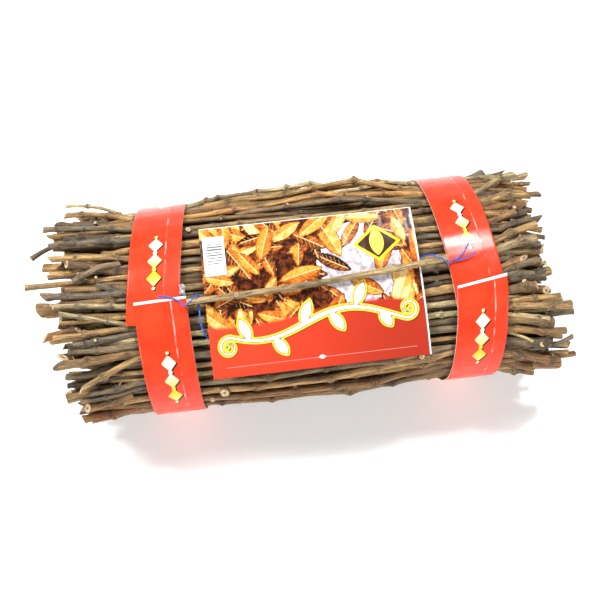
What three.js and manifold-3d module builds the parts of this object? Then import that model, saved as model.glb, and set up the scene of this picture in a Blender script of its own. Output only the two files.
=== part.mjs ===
// A bundle of dry vine twigs, held together by two printed paper bands. A display card lies on
// the bundle under one long twig, which two wire ties fasten.
// Millimetres. X runs along the twigs, Y to the back and Z up, and the bundle rests on Z = 0.
import * as THREE from "three";
import { mergeVertices } from "three/addons/utils/BufferGeometryUtils.js";
import Module from "manifold-3d";

const wasm = await Module();
wasm.setup();

// Oval room inside the bands, pressed flat underneath by the bundle's weight
const HALF_WIDTH = 112;
const HALF_HEIGHT = 86;
const PRESSED_FLAT = 6;
const GAP = 0.3;

// Paper bands, each a strip wrapped once round the twigs with its ends overlapping
const BAND_THICKNESS = 0.8;
const BAND_SLACK = 0.8;
const BAND_WIDTH = 50;
const BAND_OVERLAP = 24;
const BAND_STEPS = 58;
const BAND_CLIMB = 60;
const BAND_SKEW = 160;
const BANDS = [
  { name: "paper_band_left", x: -144.5, start: -12, end: -3, seam: 18 },
  { name: "paper_band_right", x: 152.5, start: 8, end: 10, seam: 25 },
];

// Outer twigs, in order from the top of the bundle over its front
const TWIG_COUNT = 52;
const TWIG_SIDES = 6;
const TWIG_RADII = [2.9, 4.5];
const STOUT_RADIUS = 5.4;
const STOUT_EVERY = 9;
const LEAN = 5;
const SHARED_LEAN = 8;
const LEAN_WAVES = 5;
const KNUCKLE_SWELL = 1.2;
const KNUCKLE_SPACING = [110, 155];
const KNUCKLE_LENGTH = 7;
const KNUCKLE_NECK = 0.96;
const FIRST_KNUCKLE = [24, 70];
const LAST_KNUCKLE = 22;
const END_SLANT = 0.7;
const ZIGZAG = 0.5;
const BEND_PLACE = 30;
const BEND_SHARE = 0.1;
const BEND_LEAST = 1.5;
const SPUR_RADIUS = 2.1;
const SPUR_LENGTH = 3.6;
const SPUR_LEAN = 0.35;
const SPUR_TAPER = 0.8;
const SPUR_CLEAR = 18;
const SPUR_TURN = 3;

// How far the tips reach from the middle of the bundle. The lists are for the twigs on the side
// that carries the card, from its upper edge down. The others vary about the usual reach.
const USUAL_REACH = 243;
const REACH_SPREAD = 12;
const FIRST_LISTED = -9;
const LEFT_REACH = [
  245, 252, 258, 256, 253, 250, 262, 252, 257, 277, 257, 256, 241, 257, 238, 239, 245, 243, 241,
  229, 235, 232, 235, 238, 244, 240,
];
const RIGHT_REACH = [
  232, 243, 244, 250, 235, 233, 230, 237, 237, 229, 231, 226, 231, 236, 237, 242, 254, 244, 250,
  254, 246, 260, 249, 254, 252, 243,
];

// The other twigs, packed inside the outer layer, as one mass with uneven ends
const LAYER = 14.8;
const LAYER_UNDER = 11.5;
const CLUSTER_PITCH = 33;
const CLUSTER_SIZE = 0.585 * CLUSTER_PITCH;
const CLUSTER_REACH = [224, 240];

// Settling of the outer twigs against each other
const STATION_COUNT = 21;
const STATION_REACH = 270;
const PASSES = 420;
const FIRM_PASSES = 120;
const STIFFNESS = 0.3;
const BULGE = 1.5;
const FLARE = 7;
const HELD_BEYOND_BAND = 28;
const DEPTHS = [0, 1.5];

// Swelling of the bundle between the bands and past them, on the sides that the card leaves free.
// Turns are in degrees from the top of the oval towards the front.
const SWELL = 8.5;
const END_SWELL = 4;
const SWELL_RUN = 70;
const PRESSED_TURN = 22;
const FREE_TURNS = [42, 62];

// Display card, bent a little over the bundle, with its sticker
const CARD = {
  width: 210,
  height: 148,
  thickness: 0.8,
  steps: 10,
  v: 3.3,
  bend: 300,
  facing: 17.4,
  room: 0.9,
};
const STICKER = { width: 21, height: 40, thickness: 0.4, steps: 3, u: -92, v: 47.3 };

// Long twig over the card, in the card's own directions: u along the bundle, v up the card
const CARD_TWIG = {
  radius: 3.5,
  lift: 1.8,
  ends: [-122, 131],
  v: [4.5, 8.7, 19],
  knuckles: [-76, 4, 82],
};

// Wire ties
const WIRE_RADIUS = 0.9;
const WIRE_SIDES = 6;
const WIRE_STEP = 4.5;
const RIM_BEND = 133;

const COLOURS = {
  bark: 0x9a7748,
  packed: 0x5d4a30,
  band: 0xe0401f,
  card: 0xc8452c,
  sticker: 0xf4f4f2,
  wire: 0x1f5fd0,
};

// Repeatable random numbers
let seed = 20;
function random() {
  seed = (seed * 1664525 + 1013904223) % 4294967296;
  return seed / 4294967296;
}

function between(range) {
  return range[0] + (range[1] - range[0]) * random();
}

function spread(size) {
  return between([-size, size]);
}

// Section of the bundle
const ROOM_FLOOR = BAND_THICKNESS + BAND_SLACK;
const CENTRE_Z = ROOM_FLOOR + HALF_HEIGHT - PRESSED_FLAT;
const CORE_FLOOR = ROOM_FLOOR + LAYER_UNDER;

// A point of the room's rim at an angle from the top towards the front.
function rimPoint(angle) {
  const z = CENTRE_Z + HALF_HEIGHT * Math.cos(angle);
  return new THREE.Vector2(-HALF_WIDTH * Math.sin(angle), Math.max(z, ROOM_FLOOR));
}

const RIM_SAMPLES = 720;
const rim = new THREE.CatmullRomCurve3(
  Array.from({ length: RIM_SAMPLES }, (_, i) => {
    const point = rimPoint((2 * Math.PI * i) / RIM_SAMPLES);
    return new THREE.Vector3(0, point.x, point.y);
  }),
  true,
);
rim.arcLengthDivisions = 2 * RIM_SAMPLES;
const RIM_LENGTH = rim.getLength();

// The rim at a distance along it from the top, moved out of the room by a height.
function rimAt(distance, height) {
  const share = THREE.MathUtils.euclideanModulo(distance / RIM_LENGTH, 1);
  const along = rim.getTangentAt(share);
  return rim.getPointAt(share).add(new THREE.Vector3(0, along.z, -along.y).multiplyScalar(height));
}

// The share of a half-size oval that a point lies at: 1 on its line.
function ovalShare(point, halfWidth, halfHeight) {
  return Math.hypot(point.x / halfWidth, (point.y - CENTRE_Z) / halfHeight);
}

function scaleFromCentre(point, factor) {
  point.x *= factor;
  point.y = CENTRE_Z + (point.y - CENTRE_Z) * factor;
}

// Solids for joining and cutting
function solidOf(geometry) {
  const bare = new THREE.BufferGeometry();
  const flat = geometry.index ? geometry.toNonIndexed() : geometry;
  bare.setAttribute("position", flat.getAttribute("position"));
  const merged = mergeVertices(bare, 1e-3);
  return new wasm.Manifold(
    new wasm.Mesh({
      numProp: 3,
      vertProperties: merged.getAttribute("position").array,
      triVerts: new Uint32Array(merged.index.array),
    }),
  );
}

function geometryOf(solid) {
  const mesh = solid.getMesh();
  const geometry = new THREE.BufferGeometry();
  geometry.setAttribute("position", new THREE.BufferAttribute(mesh.vertProperties, 3));
  geometry.setIndex(new THREE.BufferAttribute(mesh.triVerts, 1));
  return geometry;
}

function named(name, geometry, colour, roughness) {
  geometry.computeVertexNormals();
  const material = new THREE.MeshStandardMaterial({ color: colour, roughness, metalness: 0 });
  const mesh = new THREE.Mesh(geometry, material);
  mesh.name = name;
  return mesh;
}

// Outer twigs
const stations = Array.from(
  { length: STATION_COUNT },
  (_, k) => STATION_REACH * ((2 * k) / (STATION_COUNT - 1) - 1),
);

function reachOf(list, index) {
  const place = THREE.MathUtils.euclideanModulo(index - FIRST_LISTED, TWIG_COUNT);
  return place < list.length ? list[place] : USUAL_REACH + spread(REACH_SPREAD);
}

function makeTwig(index) {
  const stout = index % STOUT_EVERY === 4;
  const radius = stout ? STOUT_RADIUS : between(TWIG_RADII);
  const shared = SHARED_LEAN * Math.sin((2 * Math.PI * LEAN_WAVES * index) / TWIG_COUNT);
  const leans = [spread(LEAN) + shared, spread(LEAN) - shared];
  const depth = between(DEPTHS);
  const home = (RIM_LENGTH * (index + 0.5)) / TWIG_COUNT;
  const room = radius * KNUCKLE_SWELL + ZIGZAG + GAP;
  const path = stations.map((_, k) => {
    const lean = THREE.MathUtils.lerp(leans[0], leans[1], k / (STATION_COUNT - 1));
    const point = rimAt(home + lean, -room - depth);
    return new THREE.Vector2(point.y, point.z);
  });
  const left = -reachOf(LEFT_REACH, index);
  const right = reachOf(RIGHT_REACH, index);
  return { index, radius, room, path, left, right };
}

function pushApart(twigs, k) {
  twigs.forEach((a, i) =>
    twigs.slice(i + 1).forEach((b) => {
      const apart = b.path[k].clone().sub(a.path[k]);
      const short = a.room + b.room - apart.length();
      if (short <= 0) return;
      apart.setLength(short / 2);
      a.path[k].sub(apart);
      b.path[k].add(apart);
    }),
  );
}

// How far outside the oval room a twig may lie: not at all under a band.
function outsideAllowed(x) {
  const held = BANDS.some((band) => Math.abs(x - band.x) < BAND_WIDTH / 2 + HELD_BEYOND_BAND);
  if (held) return 0;
  return x > BANDS[0].x && x < BANDS[1].x ? BULGE : FLARE;
}

function swellAt(x, point) {
  const held = BAND_WIDTH / 2 + HELD_BEYOND_BAND;
  const fromBand = Math.min(...BANDS.map((band) => Math.abs(x - band.x))) - held;
  const size = x > BANDS[0].x && x < BANDS[1].x ? SWELL : END_SWELL;
  const angle = Math.atan2(-point.x / HALF_WIDTH, (point.y - CENTRE_Z) / HALF_HEIGHT);
  const turn = Math.abs(THREE.MathUtils.radToDeg(angle) - PRESSED_TURN);
  const free = THREE.MathUtils.smoothstep(turn, ...FREE_TURNS);
  return size * free * THREE.MathUtils.smoothstep(fromBand, 0, SWELL_RUN);
}

function keepInLayer(twig, k) {
  const point = twig.path[k];
  const swell = swellAt(stations[k], point);
  const outer = outsideAllowed(stations[k]) + swell - twig.room;
  const out = ovalShare(point, HALF_WIDTH + outer, HALF_HEIGHT + outer);
  if (out > 1) scaleFromCentre(point, 1 / out);
  const inner = twig.room - LAYER + swell;
  const inside = ovalShare(point, HALF_WIDTH + inner, HALF_HEIGHT + inner);
  const tooHigh = point.y - (CORE_FLOOR - twig.room);
  if (inside < 1 && tooHigh > 0) {
    const wayOut = (1 / inside - 1) * Math.hypot(point.x, point.y - CENTRE_Z);
    if (wayOut < tooHigh) scaleFromCentre(point, 1 / inside);
    else point.y -= tooHigh;
  }
  point.y = Math.max(point.y, ROOM_FLOOR + twig.room);
}

function straighten(twig) {
  const before = twig.path.map((point) => point.clone());
  const last = STATION_COUNT - 1;
  for (let k = 1; k < last; k++) {
    const middle = before[k - 1].clone().add(before[k + 1]).multiplyScalar(0.5);
    twig.path[k].lerp(middle, STIFFNESS);
  }
  twig.path[0].lerp(before[1].clone().multiplyScalar(2).sub(before[2]), STIFFNESS);
  twig.path[last].lerp(before[last - 1].clone().multiplyScalar(2).sub(before[last - 2]), STIFFNESS);
}

function settle(twigs) {
  for (let pass = 0; pass < PASSES; pass++) {
    stations.forEach((_, k) => {
      pushApart(twigs, k);
      twigs.forEach((twig) => keepInLayer(twig, k));
    });
    if (pass < PASSES - FIRM_PASSES) twigs.forEach(straighten);
  }
}

function pathAt(twig, x) {
  const place = ((x / STATION_REACH + 1) / 2) * (STATION_COUNT - 1);
  const k = THREE.MathUtils.clamp(Math.floor(place), 0, STATION_COUNT - 2);
  return twig.path[k].clone().lerp(twig.path[k + 1], place - k);
}

// Rings along a twig: its cut ends, and a swelling with a neck at each knuckle. The shoot turns
// a little at each knuckle, to the other side each time.
function ringsOf(twig) {
  const rings = [];
  const add = (x, radius, aside, slant) => {
    const point = pathAt(twig, x);
    rings.push({ x, y: point.x + aside, z: point.y, radius, slant });
  };
  add(twig.left, twig.radius, 0, spread(END_SLANT));
  twig.knuckles = [];
  let x = twig.left + between(FIRST_KNUCKLE);
  while (x < twig.right - LAST_KNUCKLE) {
    const aside = twig.knuckles.length % 2 ? ZIGZAG : -ZIGZAG;
    add(x, twig.radius * KNUCKLE_SWELL, aside, 0);
    add(x + KNUCKLE_LENGTH, twig.radius * KNUCKLE_NECK, aside, 0);
    twig.knuckles.push(x);
    x += between(KNUCKLE_SPACING);
  }
  add(twig.right, twig.radius, 0, spread(END_SLANT));
  return [...rings, ...bendRings(twig, rings)].sort((a, b) => a.x - b.x);
}

// Rings where a twig bends beside a band, away from the straight line between two knuckles
function bendRings(twig, rings) {
  const places = BANDS.flatMap((band) => [band.x - BEND_PLACE, band.x + BEND_PLACE]);
  return places.flatMap((x) => {
    const next = rings.findIndex((ring) => ring.x > x);
    if (next < 1) return [];
    const [before, after] = [rings[next - 1], rings[next]];
    const share = (x - before.x) / (after.x - before.x);
    const point = pathAt(twig, x);
    const y = THREE.MathUtils.lerp(before.y, after.y, share);
    const z = THREE.MathUtils.lerp(before.z, after.z, share);
    const off = Math.hypot(y - point.x, z - point.y);
    if (off < BEND_LEAST || Math.min(share, 1 - share) < BEND_SHARE) return [];
    return [{ x, y: point.x, z: point.y, radius: twig.radius, slant: 0 }];
  });
}

// A cylinder laid along X whose rows of vertices are moved to the rings.
function twigGeometry(rings) {
  const last = rings.length - 1;
  const geometry = new THREE.CylinderGeometry(1, 1, 1, TWIG_SIDES, last);
  const position = geometry.getAttribute("position");
  for (let i = 0; i < position.count; i++) {
    const ring = rings[Math.round((position.getY(i) + 0.5) * last)];
    const across = ring.radius * position.getZ(i);
    const up = ring.radius * position.getX(i);
    position.setXYZ(i, ring.x + ring.slant * up, ring.y + across, ring.z + up);
  }
  return geometry;
}

// A cut side shoot at a knuckle, pointing out of the bundle.
function spurGeometry(twig, x) {
  const foot = pathAt(twig, x);
  const side = new THREE.Vector2(foot.x / HALF_WIDTH ** 2, (foot.y - CENTRE_Z) / HALF_HEIGHT ** 2);
  side.normalize();
  const out = new THREE.Vector3(SPUR_LEAN, side.x, side.y).normalize();
  const length = twig.radius + SPUR_LENGTH;
  const geometry = new THREE.CylinderGeometry(SPUR_RADIUS * SPUR_TAPER, SPUR_RADIUS, length, 5);
  geometry.translate(0, length / 2, 0);
  geometry.applyQuaternion(
    new THREE.Quaternion().setFromUnitVectors(new THREE.Vector3(0, 1, 0), out),
  );
  return geometry.translate(x, foot.x, foot.y);
}

// A knuckle has room for a spur where nothing lies over it: past the bands, above mid-height. In
// turn, a twig has its spur at the left end, at the right end or not at all.
function spurPlace(twig) {
  const end = BANDS[twig.index % SPUR_TURN];
  if (!end) return undefined;
  return twig.knuckles
    .map((x) => x + KNUCKLE_LENGTH / 2)
    .find((x) => {
      const past = (x - end.x) * Math.sign(end.x);
      return past > BAND_WIDTH / 2 + SPUR_CLEAR && pathAt(twig, x).y > CENTRE_Z;
    });
}

function outerTwigs() {
  const twigs = Array.from({ length: TWIG_COUNT }, (_, index) => makeTwig(index));
  settle(twigs);
  return twigs;
}

function twigMesh(twig) {
  let geometry = twigGeometry(ringsOf(twig));
  const x = spurPlace(twig);
  if (x !== undefined) {
    geometry = geometryOf(solidOf(geometry).add(solidOf(spurGeometry(twig, x))));
  }
  const name = `twig_${String(twig.index + 1).padStart(2, "0")}`;
  return named(name, geometry, COLOURS.bark, 0.8);
}

// Twigs inside the outer layer: clusters side by side, each cut off at its own lengths.
function packedTwigs() {
  const halfWidth = HALF_WIDTH - LAYER - GAP;
  const halfHeight = HALF_HEIGHT - LAYER - GAP;
  const floor = CORE_FLOOR + GAP;
  const row = CLUSTER_PITCH * Math.sqrt(0.75);
  const rows = Math.ceil(halfHeight / row);
  const columns = Math.ceil(halfWidth / CLUSTER_PITCH);
  let mass = null;
  for (let j = -rows; j <= rows; j++) {
    for (let i = -columns; i <= columns; i++) {
      const y = (i + (j % 2 ? 0.5 : 0)) * CLUSTER_PITCH;
      const reach = [between(CLUSTER_REACH), between(CLUSTER_REACH)];
      const length = reach[0] + reach[1];
      const cluster = new THREE.CylinderGeometry(1, 1, length, 6);
      cluster.scale(CLUSTER_SIZE, 1, CLUSTER_SIZE);
      cluster.rotateZ(-Math.PI / 2);
      cluster.translate((reach[1] - reach[0]) / 2, y, CENTRE_Z + j * row);
      const solid = solidOf(cluster);
      mass = mass ? mass.add(solid) : solid;
    }
  }
  const oval = new THREE.CylinderGeometry(1, 1, 3 * USUAL_REACH, 40);
  oval.scale(halfWidth, 1, halfHeight).rotateZ(-Math.PI / 2).translate(0, 0, CENTRE_Z);
  const above = new THREE.BoxGeometry(3 * USUAL_REACH, 3 * HALF_WIDTH, 3 * HALF_HEIGHT);
  above.translate(0, 0, floor + 1.5 * HALF_HEIGHT);
  const kept = mass.intersect(solidOf(oval)).intersect(solidOf(above));
  return named("packed_twigs", geometryOf(kept), COLOURS.packed, 0.9);
}

// A band: a flat strip bent round the rim. It starts under its other end, at the seam on the
// side of the card, goes over the top and comes back to climb over its start. Both ends turn
// aside, so the strip is square to its own slanting line.
function band({ name, x, start, end, seam }) {
  const length = RIM_LENGTH + BAND_OVERLAP;
  const strip = new THREE.BoxGeometry(length, BAND_THICKNESS, BAND_WIDTH, BAND_STEPS, 1, 1);
  const position = strip.getAttribute("position");
  const turned = (distance) => Math.max(0, 1 - distance / BAND_SKEW) ** 1.5;
  const asideAt = (along) => start * turned(along) + end * turned(length - along);
  for (let i = 0; i < position.count; i++) {
    const along = position.getX(i) + length / 2;
    const slope = (asideAt(along + 1) - asideAt(along - 1)) / 2;
    const place = along - slope * position.getZ(i);
    const climb = THREE.MathUtils.smoothstep(along, RIM_LENGTH - BAND_CLIMB, RIM_LENGTH);
    const lift = BAND_SLACK + climb * (BAND_THICKNESS + GAP);
    const height = position.getY(i) + BAND_THICKNESS / 2 + lift;
    const point = rimAt(seamDistance(seam) + BAND_OVERLAP / 2 - place, height);
    const z = Math.max(point.z, 0);
    position.setXYZ(i, x + asideAt(along) + position.getZ(i), point.y, z);
  }
  return named(name, strip, COLOURS.band, 0.3);
}

// Where a plane that faces so many degrees from upright towards the front touches the rim.
function seamDistance(degrees) {
  const tilt = THREE.MathUtils.degToRad(degrees);
  const angle = Math.atan2(HALF_WIDTH * Math.sin(tilt), HALF_HEIGHT * Math.cos(tilt));
  const steps = 200;
  let distance = 0;
  for (let i = 0; i < steps; i++) {
    distance += rimPoint((angle * i) / steps).distanceTo(rimPoint((angle * (i + 1)) / steps));
  }
  return distance;
}

// The card's own directions, with the origin where its plane touches the rim: u along X, v up the
// card, w out of the bundle
function cardFrame() {
  const frame = new THREE.Group();
  frame.position.copy(rimAt(seamDistance(CARD.facing), 0));
  frame.rotation.x = THREE.MathUtils.degToRad(CARD.facing);
  frame.updateMatrixWorld(true);
  return frame;
}

// How far the bent card drops at a distance from its middle line.
function cardDrop(v) {
  return CARD.bend * (1 - Math.cos(v / CARD.bend));
}

// The height at which something of a given radius rests on the outer twigs at a place of the card.
function restHeight(frame, twigs, u, v, radius) {
  const heights = twigs.map((twig) => {
    const point = pathAt(twig, u);
    const centre = frame.worldToLocal(new THREE.Vector3(u, point.x, point.y));
    const reach = twig.room + radius + GAP;
    const aside = Math.abs(v - centre.y);
    return aside < reach ? centre.z + Math.sqrt(reach ** 2 - aside ** 2) : -Infinity;
  });
  return Math.max(...heights);
}

// The lowest height of the card's underside, above every twig that it covers.
function cardHeight(frame, twigs) {
  let height = 0;
  for (let u = -CARD.width / 2; u <= CARD.width / 2; u += 10) {
    for (let across = -CARD.height / 2; across <= CARD.height / 2; across += 4) {
      const v = CARD.v + across;
      height = Math.max(height, restHeight(frame, twigs, u, v, 0) + cardDrop(v));
    }
  }
  return height + CARD.room;
}

// A plate that follows the card's bend, with its underside at a height above the rim.
function bentPlate({ width, height, thickness, steps }, u, v, base) {
  const plate = new THREE.BoxGeometry(width, height, thickness, 1, steps, 1);
  const position = plate.getAttribute("position");
  for (let i = 0; i < position.count; i++) {
    const turn = (v + position.getY(i)) / CARD.bend;
    const out = base + thickness / 2 + position.getZ(i);
    const across = (CARD.bend + out) * Math.sin(turn);
    position.setXYZ(i, u + position.getX(i), across, (CARD.bend + out) * Math.cos(turn) - CARD.bend);
  }
  return plate;
}

// Middle line of the twig over the card: its height above the card grows a little to both ends.
function cardTwigAt(u, height) {
  const [from, to] = CARD_TWIG.ends;
  const share = (u - from) / (to - from);
  const [start, middle, end] = CARD_TWIG.v;
  const bow = 4 * share * (1 - share);
  const v = THREE.MathUtils.lerp(start, end, share) + bow * (middle - (start + end) / 2);
  const clear = CARD.thickness + GAP + CARD_TWIG.radius * KNUCKLE_SWELL;
  return new THREE.Vector3(u, v, height + clear + CARD_TWIG.lift * (1 - bow));
}

function cardTwig(height) {
  const [from, to] = CARD_TWIG.ends;
  const rings = [];
  const add = (u, radius, slant) => {
    const point = cardTwigAt(u, height);
    rings.push({ x: u, y: point.y, z: point.z, radius, slant });
  };
  add(from, CARD_TWIG.radius, 0.3);
  CARD_TWIG.knuckles.forEach((u) => {
    add(u, CARD_TWIG.radius * KNUCKLE_SWELL, 0);
    add(u + KNUCKLE_LENGTH, CARD_TWIG.radius * KNUCKLE_NECK, 0);
  });
  add(to, CARD_TWIG.radius, -0.3);
  return twigGeometry(rings);
}

function wire(points) {
  const route = new THREE.CatmullRomCurve3(points, false, "centripetal");
  const section = new THREE.Shape().absarc(0, 0, WIRE_RADIUS, 0, 2 * Math.PI);
  const steps = Math.round(route.getLength() / WIRE_STEP);
  return new THREE.ExtrudeGeometry(section, {
    extrudePath: route,
    steps,
    bevelEnabled: false,
    curveSegments: WIRE_SIDES / 2,
  });
}

// Each tie comes out from under the card, goes round the end of the twig and ends over a band.
function wireTies(frame, twigs, height) {
  const onTwigs = (u, v) => new THREE.Vector3(u, v, restHeight(frame, twigs, u, v, WIRE_RADIUS));
  const onBand = (u, v, free) => {
    const top = BAND_SLACK + 2 * BAND_THICKNESS + 2 * GAP + WIRE_RADIUS;
    return new THREE.Vector3(u, v, top - v ** 2 / (2 * RIM_BEND) + free);
  };
  const byTwig = (u, across, up) => {
    const around = CARD_TWIG.radius * KNUCKLE_SWELL + WIRE_RADIUS + GAP;
    return cardTwigAt(u, height).add(new THREE.Vector3(0, across * around, up * around));
  };
  const [from, to] = CARD_TWIG.ends;
  const left = wire([
    onTwigs(-99, -38),
    onTwigs(-107.5, -29),
    onTwigs(-111.5, -16),
    byTwig(-111, -1.3, -0.8),
    byTwig(-110.5, 0, -1),
    byTwig(-110.5, 1.2, -0.1),
    byTwig(-113, 0.75, 0.85),
    byTwig(-118, -0.1, 1.1),
    byTwig(from - 2.2, -0.8, 0.3),
    byTwig(from - 6.5, 0.3, -0.6),
    onBand(-137, 11, 0.5),
    onBand(-148.7, 13.4, 1.5),
  ]);
  const right = wire([
    onTwigs(98, 24.5),
    onTwigs(107, 24.5),
    byTwig(113, 1.2, -0.3),
    byTwig(118, 0.8, 0.8),
    byTwig(124, -0.1, 1.1),
    byTwig(to - 1, -1.15, 0.2),
    byTwig(to + 3.2, -0.7, -0.5),
    onBand(141, 18, 0.4),
    onBand(149.5, 24.5, 1.5),
    onBand(154.7, 33, 4),
  ]);
  const end = wire([
    byTwig(to + 2.6, -1.0, -0.2),
    byTwig(to + 4.2, -0.5, -0.6),
    onBand(144, 16.2, 0.6),
    onBand(150, 17.5, 0.8),
    onBand(160.2, 22.1, 3),
  ]);
  return [left, geometryOf(solidOf(right).add(solidOf(end)))];
}

// Assembly
function label(twigs) {
  const frame = cardFrame();
  const height = cardHeight(frame, twigs);
  const card = bentPlate(CARD, 0, CARD.v, height);
  const sticker = bentPlate(STICKER, STICKER.u, STICKER.v, height + CARD.thickness + GAP);
  const [left, right] = wireTies(frame, twigs, height);
  frame.add(
    named("label_card", card, COLOURS.card, 0.25),
    named("barcode_sticker", sticker, COLOURS.sticker, 0.5),
    named("card_twig", cardTwig(height), COLOURS.bark, 0.8),
    named("wire_tie_left", left, COLOURS.wire, 0.35),
    named("wire_tie_right", right, COLOURS.wire, 0.35),
  );
  return frame;
}

const twigs = outerTwigs();
const bundle = new THREE.Group();
bundle.add(...twigs.map(twigMesh), packedTwigs(), ...BANDS.map(band), label(twigs));

// The origin is below the middle of the bundle's box.
const box = new THREE.Box3().setFromObject(bundle, true);
const middle = box.getCenter(new THREE.Vector3());
bundle.position.set(-middle.x, -middle.y, 0);

const part = new THREE.Group();
part.add(bundle);
export default part;
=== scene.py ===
import math

import bpy
import numpy as np
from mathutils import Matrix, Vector
from mathutils.bvhtree import BVHTree


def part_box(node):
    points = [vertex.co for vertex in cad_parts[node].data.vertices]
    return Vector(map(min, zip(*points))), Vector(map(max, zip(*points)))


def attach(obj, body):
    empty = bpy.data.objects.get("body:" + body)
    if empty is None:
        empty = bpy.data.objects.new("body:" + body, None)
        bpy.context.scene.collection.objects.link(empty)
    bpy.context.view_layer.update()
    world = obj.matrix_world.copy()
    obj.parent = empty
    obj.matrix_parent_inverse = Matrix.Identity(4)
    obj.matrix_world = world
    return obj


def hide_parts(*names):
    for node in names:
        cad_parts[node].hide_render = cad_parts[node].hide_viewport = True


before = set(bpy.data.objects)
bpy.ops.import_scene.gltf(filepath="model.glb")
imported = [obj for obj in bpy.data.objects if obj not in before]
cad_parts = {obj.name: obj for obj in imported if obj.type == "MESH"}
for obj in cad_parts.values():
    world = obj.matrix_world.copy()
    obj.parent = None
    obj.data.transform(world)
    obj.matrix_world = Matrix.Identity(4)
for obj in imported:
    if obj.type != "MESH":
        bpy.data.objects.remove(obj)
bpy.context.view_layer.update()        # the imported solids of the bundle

# Lengths are in millimetres until a mesh is made.
MM = 0.001
FULL_TURN = 2 * math.pi
BOXES = {name: [[value / MM for value in corner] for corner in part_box(name)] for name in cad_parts}
MIDDLE_Y = sum(corner.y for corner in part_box("paper_band_left")) / 2 / MM
CARD_MIDDLE = sum(corner.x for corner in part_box("label_card")) / 2 / MM

# Section of the bundle: an oval, pressed flat underneath, as the solids have it, and the gap between solids
HALF_WIDTH = 112.0
HALF_HEIGHT = 86.0
PRESSED_FLAT = 6.0
ROOM_FLOOR = 1.6
CENTRE_Z = ROOM_FLOOR + HALF_HEIGHT - PRESSED_FLAT
GAP = 0.3

# Paper bands: their ends overlap, the upper one climbs over the lower and both turn aside
BAND_WIDTH = 50.0
BAND_THICKNESS = 0.8
BAND_SLACK = 0.8
BAND_OVERLAP = 24.0
BAND_CLIMB = 60.0
BAND_SKEW = 160.0
BAND_GRID = (430, 34)
BAND_NAMES = ("paper_band_left", "paper_band_right")

# Print on the bands: a chain of lozenges and dots, and how far its shadow lies across and along
MARK_EVERY = 120.0
MARK_LENGTH = 56.0
MARK_SHADOW = (1.2, 1.1)
LOZENGE = (8.2, 7.2)
DOT = 2.1

# Twigs: how much slimmer they are than the solids, the solids' ends and their necks beside the knuckles, how
# far apart knuckles lie, where rings of points lie about a knuckle, and the room over the floor in radii
SLIMMER = 0.82
CARD_TWIG_SLIMMER = 0.88
SOLID_END = 8.0
KNUCKLE_NECK = 0.96
KNUCKLE_EVERY = (48.0, 84.0)
KNUCKLE_GAP = 62
KNUCKLE_PAST = 25.0
KNUCKLE_IN = 6
KNUCKLE_OFFSETS = np.array([-8.0, -5.0, -3.0, -1.6, -0.5, 0.6, 1.8, 3.4, 6.0, 9.0])
FEW_OFFSETS = np.array([-6.0, -2.6, -0.7, 0.8, 2.8, 6.5])
RING_APART = 0.45
OUTER_SIDES = 14
FLOOR_ROOM = 1.45

# How twigs vary: their taper, the size of their knuckles and the bend at each, the share of both that is
# left under a cover, the chances of a stub and of a stub or a bud, and the share of an end that is pith
TAPER = 0.12
KNUCKLE_SIZES = (0.22, 0.6)
KNUCKLE_BENDS = (0.12, 0.34)
COVERED_SHARE = 0.3
STUB_CHANCE = 0.45
GROWTH_CHANCE = 0.8
PITH_SHARE = 0.3

# How near the bands and the card a twig is covered, so that it has no buds there and smaller knuckles
BAND_NEAR = 5
CARD_NEAR = 4
CARD_UNDER = 12

# Ends of the outer twigs, past the bands, and their middles between the bands
END_ZONE = 105.0
LEFT_END = 166.0
RIGHT_END = 196.0
END_RUN = 62.0
END_SINK = (5.5, 4.5)
SINK_HEIGHT = 60.0
END_SETTLE = 4.0
END_SLANT = 6.0
END_WANDER = 2.2
MIDDLE_SPAN = (-111.0, 136.0)
MIDDLE_STRAY = (3.0, 1.9)

# Inner twigs: those past a share of the oval can be seen. All are darkened as painted shade for the gaps
# among the twigs, and more so between the bands
INNER_COUNT = 430
INNER_PIECES = 4
INNER_SEEN = 0.83
INNER_RADII = (2.3, 5.0)
INNER_DEPTH = 3.5
INNER_REACH = (225.0, 240.0)
INNER_SHORT = 7.0
RAY_START = 400.0
INNER_LEAN = 7.0
INNER_WANDER = 2.6 * END_WANDER
INNER_ZONE = 0.6 * END_ZONE
INNER_SIDES = 9
SEEN_STEPS = (12.0, 16.0)
UNSEEN_STEPS = (14.0, 90.0)
INNER_PAINTED_SHADE = 0.6
MIDDLE_PAINTED_SHADE = 0.45
SHADE_RUN = 36.0

# How the inner twigs settle: at stations along the bundle, pushed apart, straightened and kept in the oval
STATIONS = np.linspace(-252.0, 252.0, 9)
START_SHARE = 0.97
ROOM_SHARE = 1.06
FLOOR_GAP = 0.6
SETTLE_STEPS = 150
SETTLE_PUSH = 0.6
STRAIGHTEN_STEPS = 135
STRAIGHTEN_SHARE = 0.25
PAIRS_EVERY = 8
PAIRS_WITHIN = 16.0
BULGE = 2.0
BULGE_SPAN = 150
FLARE = 7.0
BAND_CLEAR = 20

# Bark colours, as linear red, green and blue
TAN = (0.47, 0.285, 0.110)
PALE = (0.50, 0.385, 0.200)
OCHRE = (0.44, 0.225, 0.070)
BROWN = (0.27, 0.150, 0.062)
RED_BROWN = (0.27, 0.115, 0.045)
GREY_BROWN = (0.215, 0.155, 0.092)
GREY = (0.180, 0.148, 0.102)
DARK = (0.105, 0.078, 0.050)
FORKED = "twig_01"  # the twig with a long side shoot, always tan
CARD_TWIG_TINT = (0.47, 0.335, 0.155)
BARK_TINTS = (TAN, TAN, OCHRE, BROWN, BROWN, RED_BROWN, GREY_BROWN, GREY_BROWN, GREY, DARK)
OUTER_TINTS = (TAN, TAN, PALE, OCHRE, BROWN, BROWN, GREY_BROWN)

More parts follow.
